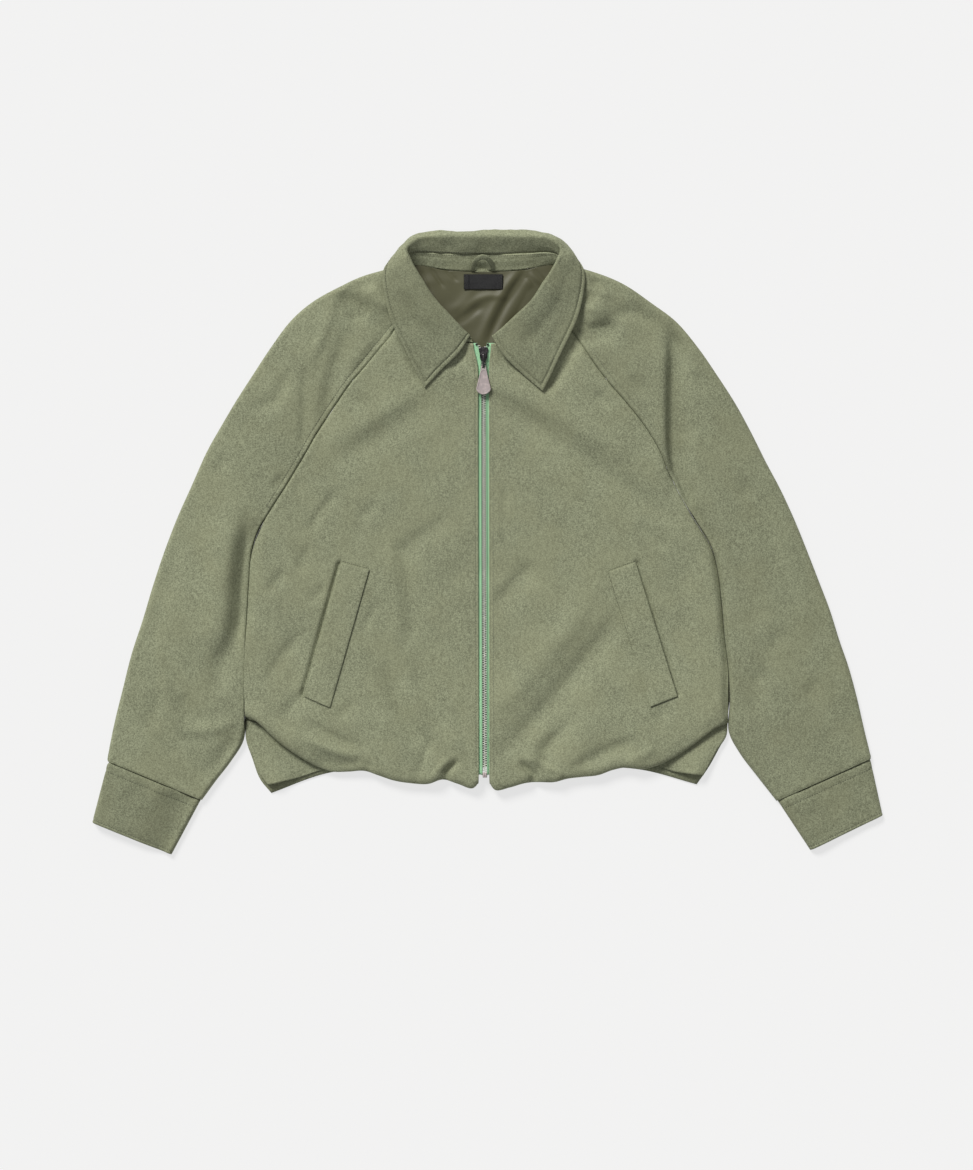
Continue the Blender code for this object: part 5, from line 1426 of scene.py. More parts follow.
def make_lining():
    """The satin lining that shows in the neck."""
    columns, rows = 96, 72
    corners = (LINING_TOP[0], LINING_TOP[-1], LINING_LEFT[-1], LINING_RIGHT[-1])
    tops = [smooth_row(LINING_TOP, c / columns) for c in range(columns + 1)]
    lefts = [smooth_row(LINING_LEFT, r / rows) for r in range(rows + 1)]
    rights = [smooth_row(LINING_RIGHT, r / rows) for r in range(rows + 1)]

    def place(column, row):
        u, v = column / columns, row / rows
        x, y = patch_point(tops[column], mix(LINING_LEFT[-1], LINING_RIGHT[-1], u), lefts[row], rights[row],
                           corners, u, v)
        inside = ease(min(u, 1.0 - u) / 0.05)
        fold = fold_sum(LINING_FOLD_LIST, x, y) + 0.3 * noise.noise(Vector((x / 15.0, y / 15.0, 1.0)))
        return x, y, max(lining_height(x, y) + 0.8 + fold * inside, LINING_BASE + LINING_WALL)

    add_cloth("lining_cloth", columns, rows, place, LINING_WALL, "satin lining", ["lining_back"],
              flip=True)


def on_shell(name, x, y, above=60.0):
    """Point and normal where a plumb line meets a shell's outer face, in millimetres."""
    hit, normal, _, _ = SHELLS[name].ray_cast(Vector((x, y, above)) * MM, Vector((0.0, 0.0, -1.0)))
    if hit is None:
        return None, None
    return hit / MM, normal if normal.z > 0 else -normal


def make_label():
    """A plain woven label with folded ends, sewn on the lining."""
    columns, rows = 60, 24
    half_width = LABEL_SIZE[0] / 2.0

    def place(column, row):
        x = LABEL_CENTRE[0] + LABEL_SIZE[0] * (column / columns - 0.5)
        y = LABEL_CENTRE[1] + LABEL_SIZE[1] * (0.5 - row / rows)
        calm = lining_height(LABEL_CENTRE[0] + (x - LABEL_CENTRE[0]) * 0.9, y)
        end = half_width - abs(x - LABEL_CENTRE[0])
        fold_end = 0.3 * ease((6.5 - end) / 1.0) - 0.25 * bell(end, 0.5)
        wave = 0.14 * math.sin(x * 0.21 + 0.6) + 0.1 * noise.noise(Vector((x / 9.0, y / 9.0, 2.0)))
        return x, y, calm + SEAM_GAP + LABEL_RISE + fold_end + wave

    add_cloth("label_cloth", columns, rows, place, LABEL_WALL, "woven label", ["neck_label"],
              flip=True)


def make_hanging_loop():
    """A narrow folded band that arches from the neck seam over the stand."""
    columns, rows = 64, 10
    neck, _, fall = collar_section(0.5, 4, (0.0,))
    top = fall[6]

    def place(column, row):
        a = math.pi * column / columns
        across = row / rows - 0.5
        reach = LOOP_HALF_WIDTH + LOOP_BAND * across
        along = LOOP_REACH + LOOP_BAND * across
        x = LOOP_CENTRE[0] - reach * math.cos(a)
        y = LOOP_CENTRE[1] + 1.0 + along * math.sin(a)
        z = neck.z + (top.z - neck.z) * (y - neck.y) / (top.y - neck.y) + LOOP_WALL + 1.0
        round_edge = -0.5 * (abs(2.0 * across) ** 4) + 0.25 * (1.0 - (2.0 * across) ** 2)
        return x, y, z + round_edge + LOOP_STAND_OFF * math.sin(a)

    # the loop takes the collar's suede, painted darker in front of the neck as painted shade
    add_cloth("loop_cloth", columns, rows, place, LOOP_WALL, "collar suede painted shade in front", ["hanger_loop"])


def make_welts():
    """Pocket welts, each a pressed band that lies on its front."""
    columns, rows = 22, 96
    for side, seed in (("left", 101.0), ("right", 113.0)):
        top_out, top_in, low_in, low_out = [Vector(corner) for corner in WELTS[side]]
        width = (top_in - top_out).length
        length = (low_out - top_out).length
        downs = spaced(length, WELT_STEPS, WELT_STEPS, rows - 6)
        acrosses = spaced(width, WELT_STEPS, WELT_STEPS, columns - 6)

        def place(column, row, side=side, width=width, length=length, downs=downs, acrosses=acrosses,
                  corners=(top_out, top_in, low_in, low_out), seed=seed):
            u, v = acrosses[column] / width, downs[row] / length
            x, y = corners[0].lerp(corners[1], u).lerp(corners[3].lerp(corners[2], u), v)
            under = cloth_height(x, y, front_base(y))
            edge = min(acrosses[column], width - acrosses[column], downs[row], length - downs[row])
            swell = 0.45 * ease(edge / 1.8) + 0.2 * ease((edge - 2.0) / 8.0)
            gather = 0.1 * gathers(downs[row], acrosses[column], seed)
            return x, y, under + WELT_WALL + SEAM_GAP + 0.12 + swell + gather

        add_cloth(f"welt_{side}_cloth", len(acrosses) - 1, len(downs) - 1, place, WELT_WALL, "suede cloth",
                  [f"welt_{side}"], flip=side == "left")


# ---------------------------------------------------------------- zip

def tape_flare(side, y):
    """How far a tape spreads from the middle above the slider."""
    return TAPE_FLARE[side] * ease((y - SLIDER_Y + 2.0) / 15.0)


def zip_rows(top, low, pitch):
    """Heights of a row of teeth from its top down."""
    count = int((top - low) / pitch)
    return [top - pitch * k for k in range(count + 1)]


def make_tapes():
    """Woven tapes, with the cord along their inner edges."""
    rows, columns = 150, 8
    low_y = ZIP_BOTTOM[1] + 4.0
    cord = bpy.context.scene.blouson_zip.cord / MM
    for side, sign in SIDES:
        def place(column, row, side=side, sign=sign):
            y = ZIP_TOP[1] + (low_y - ZIP_TOP[1]) * row / rows
            near = CHAIN_WIDTH / 2.0 + SEAM_GAP + tape_flare(side, y)
            return zip_x(y) + sign * (near + TAPE_WIDTH * column / columns), y, zip_height(y)

        add_cloth(f"tape_{side}_cloth", columns, rows, place, TAPE_WALL, "woven tape",
                  [f"zip_tape_{side}"], flip=sign > 0)
        bm = bmesh.new()
        ys = [ZIP_TOP[1] - 0.5 + (low_y - ZIP_TOP[1]) * k / 160 for k in range(161)]
        rings = []
        for y in ys:
            ring = bmesh.ops.create_circle(bm, cap_ends=False, radius=cord * MM, segments=8)["verts"]
            bmesh.ops.rotate(bm, verts=ring, cent=(0, 0, 0), matrix=Matrix.Rotation(math.pi / 2, 3, "X"))
            beside = CHAIN_WIDTH / 2.0 + SEAM_GAP + 0.55 + tape_flare(side, y)
            centre = Vector((zip_x(y) + sign * beside, y, zip_height(y) + cord * 0.55)) * MM
            bmesh.ops.translate(bm, verts=ring, vec=centre)
            edges = {edge for vert in ring for edge in vert.link_edges}
            rings.append(list(edges))
        for first, second in zip(rings, rings[1:]):
            bmesh.ops.bridge_loops(bm, edges=first + second)
        bmesh.ops.holes_fill(bm, edges=rings[0] + rings[-1])
        bmesh.ops.recalc_face_normals(bm, faces=bm.faces)
        smooth_faces(bm)
        # the cord's finish is the tape's colour painted darker, as painted shade beside the teeth
        add_piece(f"tape_cord_{side}", bm, "tape cord painted shade", "jacket")


def tooth_mesh(sign, reach):
    """One tooth about its own place: a narrow nose towards the middle and a wider foot on the cord."""
    bm = bmesh.new()
    verts = bmesh.ops.create_cube(bm, size=1.0)["verts"]
    bmesh.ops.scale(bm, verts=verts, vec=Vector((reach + 0.9, 1.42, CHAIN_THICK - 0.2)) * MM)
    nose = [vert for vert in verts if vert.co.x * sign < 0]
    bmesh.ops.scale(bm, verts=nose, vec=(1.0, 0.66, 0.72))
    bmesh.ops.translate(bm, verts=verts, vec=Vector((sign * (reach - 0.9) / 2.0, 0.0, 0.0)) * MM)
    bmesh.ops.bevel(bm, geom=bm.edges[:], affect="EDGES", offset=0.28 * MM, segments=1, profile=0.5,
                    material=-1)
    return as_mesh(bm, "tooth")


def make_chain():
    """The closed chain: teeth of both sides, one between two of the other."""
    settings = bpy.context.scene.blouson_zip
    pitch, reach = settings.pitch / MM, settings.reach / MM
    top, low = SLIDER_Y - 6.5, ZIP_BOTTOM[1] + 7.6
    bm = bmesh.new()
    for side, sign, shift in (("left", -1.0, 0.0), ("right", 1.0, pitch / 2.0)):
        tooth = tooth_mesh(sign, reach)
        spots = [(y, 0.0) for y in zip_rows(top - shift, low, pitch)]
        parted = zip_rows(ZIP_TOP[1] - 3.2 - shift, SLIDER_Y + 6.5, pitch)
        spots += [(y, tape_flare(side, y) + 0.6) for y in parted]
        places = [Matrix.Translation(Vector((zip_x(y) + sign * spread, y,
                                             zip_height(y) + 0.85 - CHAIN_THICK / 2.0)) * MM)
                  for y, spread in spots]
        repeat_mesh(bm, tooth, places)
    add_piece("zip_teeth", bm, "tooth metal", "jacket", ["zip_chain"])


def add_block(bm, size, centre, bevel):
    verts = bmesh.ops.create_cube(bm, size=1.0)["verts"]
    bmesh.ops.scale(bm, vec=Vector(size) * MM, verts=verts)
    bmesh.ops.translate(bm, vec=Vector(centre) * MM, verts=verts)
    if bevel:
        edges = {edge for vert in verts for edge in vert.link_edges}
        bmesh.ops.bevel(bm, geom=list(edges), affect="EDGES", offset=bevel * MM, segments=3, profile=0.5,
                        material=-1)
    return verts


def make_stops():
    """Top stops on the tapes and the box at the lower end."""
    for side, sign in SIDES:
        bm = bmesh.new()
        y = ZIP_TOP[1] - 1.6
        x = zip_x(y) + sign * (CHAIN_WIDTH / 2.0 + SEAM_GAP + 1.1 + tape_flare(side, y))
        add_block(bm, (2.3, 2.4, 1.5), (x, y, zip_height(y) + SEAM_GAP + 0.6), 0.4)
        add_piece(f"zip_stop_{side}_metal", bm, "gunmetal", "jacket", [f"zip_stop_{side}"])
    bm = bmesh.new()
    y = ZIP_BOTTOM[1] + 4.0
    z = zip_height(y) + CHAIN_RISE - CHAIN_THICK / 2.0
    add_block(bm, (CHAIN_WIDTH + 0.6, 6.0, 2.8), (zip_x(y), y - 0.4, z), 0.6)
    add_block(bm, (1.5, 4.6, 1.2), (zip_x(y) - 1.2, y - 0.2, z + 1.4), 0.3)
    add_block(bm, (1.5, 4.6, 1.2), (zip_x(y) + 1.2, y - 0.2, z + 1.4), 0.3)
    add_piece("zip_bottom_box", bm, "rosy metal", "jacket", ["zip_bottom_stop"])


def slider_top():
    """Height of the slider's upper face."""
    return zip_height(SLIDER_Y) + CHAIN_RISE + SLIDER_PLAY + SLIDER_PLATE


def pin_height():
    """Height of the cross pin that the link turns on."""
    return slider_top() + LINK_RADIUS + LINK_STRIP / 2.0 + 0.4


def shield(bm, width, length, thick, centre, waist, bevel):
    """A slider plate: wide at its top end and narrow at its low end, with rounded edges."""
    made = bmesh.ops.create_grid(bm, x_segments=8, y_segments=14, size=0.5)
    for vert in made["verts"]:
        share = 0.5 - vert.co.y
        narrow = 1.0 - (1.0 - waist) * ease(share * 1.25 - 0.1)
        round_end = turned(min(share, 1.0 - share) * length, 2.4)
        vert.co.x *= width * narrow * (0.55 + 0.45 * round_end)
        vert.co.y *= length
    faces = list({face for vert in made["verts"] for face in vert.link_faces})
    raised = bmesh.ops.extrude_face_region(bm, geom=faces)
    upper = [item for item in raised["geom"] if isinstance(item, bmesh.types.BMVert)]
    bmesh.ops.translate(bm, verts=upper, vec=(0.0, 0.0, thick))
    whole = list({*made["verts"], *upper})
    bmesh.ops.translate(bm, verts=whole, vec=(0.0, 0.0, -thick / 2.0))
    bmesh.ops.scale(bm, verts=whole, vec=(MM, MM, MM))
    bmesh.ops.translate(bm, verts=whole, vec=Vector(centre) * MM)
    bmesh.ops.recalc_face_normals(bm, faces=list({face for vert in whole for face in vert.link_faces}))
    rims = [edge for edge in {e for vert in whole for e in vert.link_edges}
            if len(edge.link_faces) == 2 and edge.calc_face_angle(0.0) > 0.9]
    bmesh.ops.bevel(bm, geom=rims, affect="EDGES", offset=bevel * MM, segments=2, profile=0.5, material=-1)


def make_slider():
    """Slider: two plates joined by a wedge, with two ears and a cross pin for the link."""
    x0, y0, top = zip_x(SLIDER_Y), SLIDER_Y, slider_top()
    low = zip_height(SLIDER_Y) + CHAIN_RISE - CHAIN_THICK - SLIDER_PLAY - SLIDER_PLATE
    bm = bmesh.new()
    shield(bm, SLIDER_WIDTH, SLIDER_LENGTH, SLIDER_PLATE + 0.2, (x0, y0, top - SLIDER_PLATE / 2.0),
           0.66, 0.35)
    shield(bm, SLIDER_WIDTH, SLIDER_LENGTH, SLIDER_PLATE, (x0, y0, low + SLIDER_PLATE / 2.0), 0.66, 0.3)
    add_block(bm, (1.8, 5.0, top - low - 1.0), (x0, y0 + 4.6, (top + low) / 2.0), 0.4)
    pin_z = pin_height()
    ear_x = EAR_GAP / 2.0 + EAR_WALL / 2.0
    for sign in (-1.0, 1.0):
        ear = add_block(bm, (EAR_WALL, 5.0, pin_z + 1.5 - top + 0.5),
                        (x0 + sign * ear_x, PIN_Y, (pin_z + 1.5 + top - 0.5) / 2.0), 0.0)
        high = [vert for vert in ear if vert.co.z > pin_z * MM]
        bmesh.ops.scale(bm, verts=high, vec=(1.0, 0.62, 1.0),
                        space=Matrix.Translation((0.0, -PIN_Y * MM, 0.0)))
        edges = list({edge for vert in ear for edge in vert.link_edges})
        bmesh.ops.bevel(bm, geom=edges, affect="EDGES", offset=0.3 * MM, segments=2, profile=0.5, material=-1)
        add_block(bm, (0.9, 9.0, 0.8), (x0 + sign * 3.9, y0 - 0.5, top + 0.3), 0.3)
    turn = Matrix.Translation(Vector((x0, PIN_Y, pin_z)) * MM) @ Matrix.Rotation(math.pi / 2, 4, "Y")
    bmesh.ops.create_cone(bm, cap_ends=True, segments=20, radius1=PIN_RADIUS * MM, radius2=PIN_RADIUS * MM,
                          depth=(EAR_GAP + 2 * EAR_WALL + 0.3) * MM, matrix=turn)
    add_piece("slider_metal", bm, "gunmetal", "jacket", ["zip_slider"])


def ring_of(outline, strip, segments):
    """A closed bent wire along an outline in its own plane, as a bmesh in millimetres."""
    bm = bmesh.new()
    count = len(outline)
    rings = []
    for k, (x, y) in enumerate(outline):
        ax, ay = outline[(k + 1) % count]
        bx, by = outline[(k - 1) % count]
        way = math.atan2(ay - by, ax - bx)
        ring = bmesh.ops.create_circle(bm, cap_ends=False, radius=1.0, segments=segments)["verts"]
        bmesh.ops.scale(bm, verts=ring, vec=(strip[0], strip[1], 1.0))
        bmesh.ops.rotate(bm, verts=ring, cent=(0, 0, 0), matrix=Matrix.Rotation(math.pi / 2, 3, "X"))
        bmesh.ops.rotate(bm, verts=ring, cent=(0, 0, 0), matrix=Matrix.Rotation(way - math.pi / 2, 3, "Z"))
        bmesh.ops.translate(bm, verts=ring, vec=(x, y, 0.0))
        rings.append(list({edge for vert in ring for edge in vert.link_edges}))
    for first, second in zip(rings, rings[1:] + rings[:1]):
        bmesh.ops.bridge_loops(bm, edges=first + second)
    bmesh.ops.recalc_face_normals(bm, faces=bm.faces)
    return bm


def stadium(radius, length, steps):
    """Slot outline along -Y from the origin: two half circles and straight sides."""
    points = []
    for k in range(steps + 1):
        a = math.pi * k / steps
        points.append((radius * math.cos(a), radius * math.sin(a)))
    for k in range(steps + 1):
        a = math.pi + math.pi * k / steps
        points.append((radius * math.cos(a), -length + radius * math.sin(a)))
    return points


def make_link():
    """The bent link between the slider's pin and the tab."""
    bm = ring_of(stadium(LINK_RADIUS, LINK_LENGTH, 16), (LINK_STRIP / 2.0, LINK_WIDTH / 2.0), 14)
    place = (Matrix.Translation(Vector((zip_x(SLIDER_Y), PIN_Y, pin_height())) * MM)
             @ Matrix.Rotation(math.pi / 2, 4, "Y") @ Matrix.Scale(MM, 4))
    bmesh.ops.transform(bm, matrix=place, verts=bm.verts)
    smooth_faces(bm)
    add_piece("pull_link_metal", bm, "gunmetal", "pull_link", ["pull_link"])


def tab_outline(inset, steps, drop=0.0):
    """Outline round the tab's narrow and wide ends, moved in by an inset; a drop starts it lower."""
    near, near_radius = TAB_HOLE[1] - TAB_EYE_RADIUS, TAB_EYE_RADIUS
    far_radius = TAB_WIDTH / 2.0
    far = far_radius - TAB_LENGTH + TAB_HOLE[1]
    near_radius += (far_radius - near_radius) * drop / (near - far) - inset
    near -= drop
    far_radius -= inset
    lean = math.asin((far_radius - near_radius) / (near - far))
    points = []
    for k in range(steps + 1):
        a = -lean + (math.pi + 2 * lean) * k / steps
        points.append((near_radius * math.cos(a), near + near_radius * math.sin(a)))
    for k in range(steps + 1):
        a = math.pi + lean + (math.pi - 2 * lean) * k / steps
        points.append((far_radius * math.cos(a), far + far_radius * math.sin(a)))
    return points


def tab_seat():
    """Turn of the tab about the link's end, so that it leans on the cloth."""
    x0, pin_z = zip_x(SLIDER_Y), pin_height()
    far_radius = TAB_WIDTH / 2.0
    far = far_radius - TAB_LENGTH + TAB_HOLE[1]
    rest_y = PIN_Y - LINK_LENGTH + far
    seat = max(solid_height(x0 + sign * far_radius * 0.7, rest_y + step)
               for sign in (-1.0, 1.0) for step in (-6.0, 0.0, 6.0))
    drop = pin_z - (seat + SEAM_GAP + 0.3 + TAB_THICK / 2.0)
    return (Matrix.Translation(Vector((x0, PIN_Y - LINK_LENGTH, pin_z)) * MM)
            @ Matrix.Rotation(math.atan2(drop, -far), 4, "X"))


def make_tab():
    """The pull tab: a drop-shaped plate with an eye, a raised rim and a plain panel."""
    half = TAB_THICK / 2.0
    hole = [(TAB_HOLE[0] / 2.0 * math.cos(a), -(TAB_HOLE[1] + TAB_HOLE[2]) / 2.0 + (TAB_HOLE[2] - TAB_HOLE[1])
             / 2.0 * math.sin(a)) for a in (math.tau * k / 56 for k in range(56))]
    steps = 27
    bm = bmesh.new()

    def loop(points, z):
        verts = [bm.verts.new((x, y, z)) for x, y in points]
        return [bm.edges.new((a, b)) for a, b in zip(verts, verts[1:] + verts[:1])]

    outside_low = loop(tab_outline(0.0, steps), -half + 0.4)
    outside_high = loop(tab_outline(0.0, steps), half - 0.45)
    rim_out = loop(tab_outline(0.45, steps), half)
    rim_in = loop(tab_outline(1.5, steps, TAB_PANEL_DROP), half)
    panel = loop(tab_outline(1.9, steps, TAB_PANEL_DROP), half - 0.4)
    under = loop(tab_outline(0.4, steps), -half)
    hole_high = loop(hole, half)
    hole_low = loop(hole, -half)
    for first, second in ((outside_low, outside_high), (outside_high, rim_out), (rim_in, panel),
                          (outside_low, under), (hole_high, hole_low)):
        bmesh.ops.bridge_loops(bm, edges=first + second)
    bmesh.ops.triangle_fill(bm, use_beauty=True, edges=rim_out + rim_in + hole_high)
    bmesh.ops.triangle_fill(bm, use_beauty=True, edges=panel)
    bmesh.ops.triangle_fill(bm, use_beauty=True, edges=under + hole_low)
    bmesh.ops.remove_doubles(bm, verts=bm.verts, dist=0.001)
    bmesh.ops.recalc_face_normals(bm, faces=bm.faces)
    bmesh.ops.transform(bm, matrix=tab_seat() @ Matrix.Scale(MM, 4), verts=bm.verts)
    add_piece("pull_tab_metal", bm, "rosy metal", "pull_tab", ["pull_tab"])


# ---------------------------------------------------------------- stitching

def resampled(path, pitch):
    """Points along a plan path, one for each stitch, with the way that the path runs there."""
    found, walked, due = [], 0.0, pitch / 2.0
    for (xa, ya), (xb, yb) in zip(path, path[1:]):
        length = math.hypot(xb - xa, yb - ya)
        while length > 0 and due <= walked + length:
            share = (due - walked) / length
            found.append((xa + (xb - xa) * share, ya + (yb - ya) * share, math.atan2(yb - ya, xb - xa)))
            due += pitch
        walked += length
    return found


def add_stitches(bm, path, shells, pitch=None, width=None):
    """Stitches along a plan path, laid on whichever of the shells shows there."""
    settings = bpy.context.scene.blouson_stitches
    pitch = pitch or settings.pitch / MM
    wide = width or settings.width / MM
    long = settings.length / MM * (pitch / (settings.pitch / MM))
    places = []
    for x, y, way in resampled(path, pitch):
        hits = [on_shell(name, x, y) for name in shells]
        hits = [(hit, normal) for hit, normal in hits if hit is not None]
        if not hits:
            continue
        hit, normal = max(hits, key=lambda pair: pair[0].z)
        ahead = Vector((math.cos(way), math.sin(way), 0.0))
        ahead = (ahead - normal * ahead.dot(normal)).normalized()
        beside = normal.cross(ahead)
        turn = Matrix((ahead, beside, normal)).transposed().to_4x4()
        size = Matrix.Diagonal((long / 2.0, wide / 2.0, wide * 0.42, 1.0))
        places.append(Matrix.Translation((hit + normal * wide * 0.12) * MM) @ turn @ Matrix.Scale(MM, 4)
                      @ size)
    stitch = bmesh.new()
    bmesh.ops.create_uvsphere(stitch, u_segments=6, v_segments=4, radius=1.0)
    repeat_mesh(bm, as_mesh(stitch, "stitch"), places)


def finish_stitches(name, bm, thread="sewing thread"):
    smooth_faces(bm)
    add_piece(name, bm, thread, "jacket")


def make_stitching():
    """All visible rows of stitches."""
    cloths = ["sleeve_left_cloth", "sleeve_right_cloth", "front_left_cloth", "front_right_cloth"]
    bm = bmesh.new()
    for table, last, name in ((SLEEVE_LEFT, 9.0, "sleeve_left_cloth"),
                              (SLEEVE_RIGHT, 8.0, "sleeve_right_cloth")):
        path = [seam_point(table, 0.4 + (last - 0.4) * k / 60, 2, -(SEAM_GAP / 2.0 + TOPSTITCH))
                for k in range(61)]
        add_stitches(bm, path, [name])
    xa, ya = seam_point(SLEEVE_LEFT, 9.0, 2, -(SEAM_GAP / 2.0 + TOPSTITCH + 0.6))
    xb, yb = seam_point(SLEEVE_LEFT, 9.06, 2, -0.8)
    for k in range(3):
        add_stitches(bm, [(xa, ya + 0.5 * k), (xb, yb + 0.5 * k)], cloths, pitch=1.5, width=0.7)
    finish_stitches("stitches_raglan", bm, "matched thread")

    bm = bmesh.new()
    shares = collar_shares()
    edge = [collar_section(t, 4, (0.0, COLLAR_TOPSTITCH))[2] for t in shares]
    inner = [section[-2] for section in edge]
    first = next(k for k, t in enumerate(shares) if t >= shares[7])
    run = [(p.x, p.y) for p in inner[first:len(inner) - first]]
    add_stitches(bm, run[:44], ["collar_fall_cloth"])
    add_stitches(bm, run[-44:], ["collar_fall_cloth"])
    for share in (shares[7], shares[-8]):
        hanging = collar_section(share, 4, (0.0, COLLAR_TOPSTITCH))[2][11:-1]
        add_stitches(bm, [(p.x, p.y) for p in hanging], ["collar_fall_cloth"])
    finish_stitches("stitches_collar", bm)

    bm = bmesh.new()
    spans = [0.27 + 0.46 * k / 80 for k in range(81)]
    upper, lower = [], []
    for t in spans:
        _, seam, fall = collar_section(t, 4, (0.0,))
        up = (fall[1] - fall[0]).normalized()
        high = fall[0] + up * 2.0
        down = seam - up * 1.6
        upper.append((high.x, high.y))
        lower.append((down.x, down.y))
    add_stitches(bm, upper, ["collar_fall_cloth"], pitch=2.6)
    add_stitches(bm, lower, ["collar_stand_cloth"], pitch=2.6)
    finish_stitches("stitches_neck", bm)

    bm = bmesh.new()
    for side in ("left", "right"):
        outer_top, inner_top, outer_end, inner_end = cuff_frame(side)
        length = (outer_end - outer_top).length
        for down in (SEAM_GAP + 0.2 + CUFF_TOPSTITCH, length - CUFF_END_STITCH):
            outer = outer_top.lerp(outer_end, down / length)
            inner = inner_top.lerp(inner_end, down / length)
            path = [tuple(inner.lerp(outer, s)) for s in (0.03, 0.5, 0.965)]
            add_stitches(bm, path, [f"cuff_{side}_cloth"])
    finish_stitches("stitches_cuffs", bm)

    bm = bmesh.new()
    for side in ("left", "right"):
        corners = [Vector(corner) for corner in WELTS[side]]
        middle = sum(corners, Vector((0.0, 0.0))) / 4.0
        ring = []
        for corner in corners:
            out = corner - middle
            ring.append(corner + Vector((math.copysign(1.1, out.x), math.copysign(1.1, out.y))))
        ring.append(ring[0])
        for start, end in zip(ring, ring[1:]):
            add_stitches(bm, [tuple(start), tuple(end)], [f"front_{side}_cloth"], pitch=2.5, width=0.55)
    finish_stitches("stitches_welts", bm)

    bm = bmesh.new()
    for sign, name in ((-1.0, "front_left_cloth"), (1.0, "front_right_cloth")):
        path = [(zip_x(y) + sign * (ZIP_OPENING / 2.0 + ZIP_TOPSTITCH), y) for y in range(212, -262, -6)]
        add_stitches(bm, path, [name])
    finish_stitches("stitches_zip", bm, "matched thread")

    bm = bmesh.new()
    half_width, half_length = LABEL_SIZE[0] / 2.0 - 1.2, LABEL_SIZE[1] / 2.0 - 0.8
    for sign in (-1.0, 1.0):
        x = LABEL_CENTRE[0] + sign * half_width
        add_stitches(bm, [(x, LABEL_CENTRE[1] - half_length), (x, LABEL_CENTRE[1] + half_length)],
                     ["label_cloth"], pitch=2.0, width=0.4)
    finish_stitches("stitches_label", bm)


# ---------------------------------------------------------------- stage

def make_stage():
    """Pale floor, soft light from the upper left and the camera straight above."""
    scene, stage = bpy.context.scene, bpy.context.scene.blouson_stage
    bm = bmesh.new()
    bmesh.ops.create_grid(bm, x_segments=8, y_segments=8, size=FLOOR_HALF)
    bmesh.ops.translate(bm, verts=bm.verts, vec=(0.0, 0.0, -FLOOR_DROP))
    as_object(bm, "floor", "pale floor")

    world = bpy.data.worlds.new("soft room")
    scene.world = world
    world.use_nodes = True
    nodes, links = world.node_tree.nodes, world.node_tree.links
    light = nodes["Background"]
    light.inputs["Color"].default_value = SKY_COLOUR
    light.inputs["Strength"].default_value = stage.sky
    wall = nodes.new("ShaderNodeBackground")
    wall.inputs["Color"].default_value = BACKDROP
    seen = nodes.new("ShaderNodeLightPath")
    choose = nodes.new("ShaderNodeMixShader")
    links.new(seen.outputs["Is Camera Ray"], choose.inputs[0])
    links.new(light.outputs[0], choose.inputs[1])
    links.new(wall.outputs[0], choose.inputs[2])
    links.new(choose.outputs[0], nodes["World Output"].inputs["Surface"])

    key = bpy.data.lights.new("window light", "SUN")
    key.energy = stage.key
    key.angle = stage.key_spread
    key.color = KEY_COLOUR
    lamp = bpy.data.objects.new("window light", key)
    lamp.rotation_mode = "QUATERNION"
    lamp.rotation_quaternion = Vector(KEY_WAY).to_track_quat("-Z", "Y")
    lamp.location = KEY_PLACE
    scene.collection.objects.link(lamp)

    lens = bpy.data.cameras.new("overhead")
    lens.lens = LENS
    lens.sensor_width = SENSOR
    lens.clip_start, lens.clip_end = 0.05, 60.0
    camera = bpy.data.objects.new("overhead", lens)
    camera.location = (CAMERA_X, CAMERA_Y, stage.distance + CAMERA_ABOVE)
    scene.collection.objects.link(camera)
    scene.camera = camera
    scene.view_settings.view_transform = "Standard"
    scene.view_settings.look = "None"


# ---------------------------------------------------------------- add-on

class MakeBack(bpy.types.Operator):
    """The back panel, flat on the surface"""
    bl_idname = "blouson.back"
    bl_label = "Back panel"
    bl_options = {"REGISTER", "UNDO"}

    def execute(self, context):
        make_back()
        return {"FINISHED"}


class MakeFronts(bpy.types.Operator):
    """Both fronts, from the neck to the rolled hem"""
    bl_idname = "blouson.fronts"
    bl_label = "Fronts"
    bl_options = {"REGISTER", "UNDO"}

    def execute(self, context):
        make_fronts()
        return {"FINISHED"}


class MakeSleeves(bpy.types.Operator):
    """Both raglan sleeves"""
    bl_idname = "blouson.sleeves"
    bl_label = "Raglan sleeves"
    bl_options = {"REGISTER", "UNDO"}

    def execute(self, context):
        make_sleeves()
        return {"FINISHED"}


class MakeCuffs(bpy.types.Operator):
    """Both sewn cuff bands"""
    bl_idname = "blouson.cuffs"
    bl_label = "Cuffs"
    bl_options = {"REGISTER", "UNDO"}

    def execute(self, context):
        make_cuffs()
        return {"FINISHED"}


class MakeHemBands(bpy.types.Operator):
    """The front hem bands under the roll"""
    bl_idname = "blouson.hem_bands"
    bl_label = "Hem bands"
    bl_options = {"REGISTER", "UNDO"}

    def execute(self, context):
        make_hem_bands()
        return {"FINISHED"}


class MakeCollar(bpy.types.Operator):
    """The collar's stand and its turned-down fall"""
    bl_idname = "blouson.collar"
    bl_label = "Collar"
    bl_options = {"REGISTER", "UNDO"}

    def execute(self, context):
        make_collar()
        return {"FINISHED"}


class MakeLining(bpy.types.Operator):
    """The satin lining that shows in the neck"""
    bl_idname = "blouson.lining"
    bl_label = "Neck lining"
    bl_options = {"REGISTER", "UNDO"}

    def execute(self, context):
        make_lining()
        return {"FINISHED"}


class MakeLabel(bpy.types.Operator):
    """The plain woven label"""
    bl_idname = "blouson.label"
    bl_label = "Neck label"
    bl_options = {"REGISTER", "UNDO"}

    def execute(self, context):
        make_label()
        return {"FINISHED"}


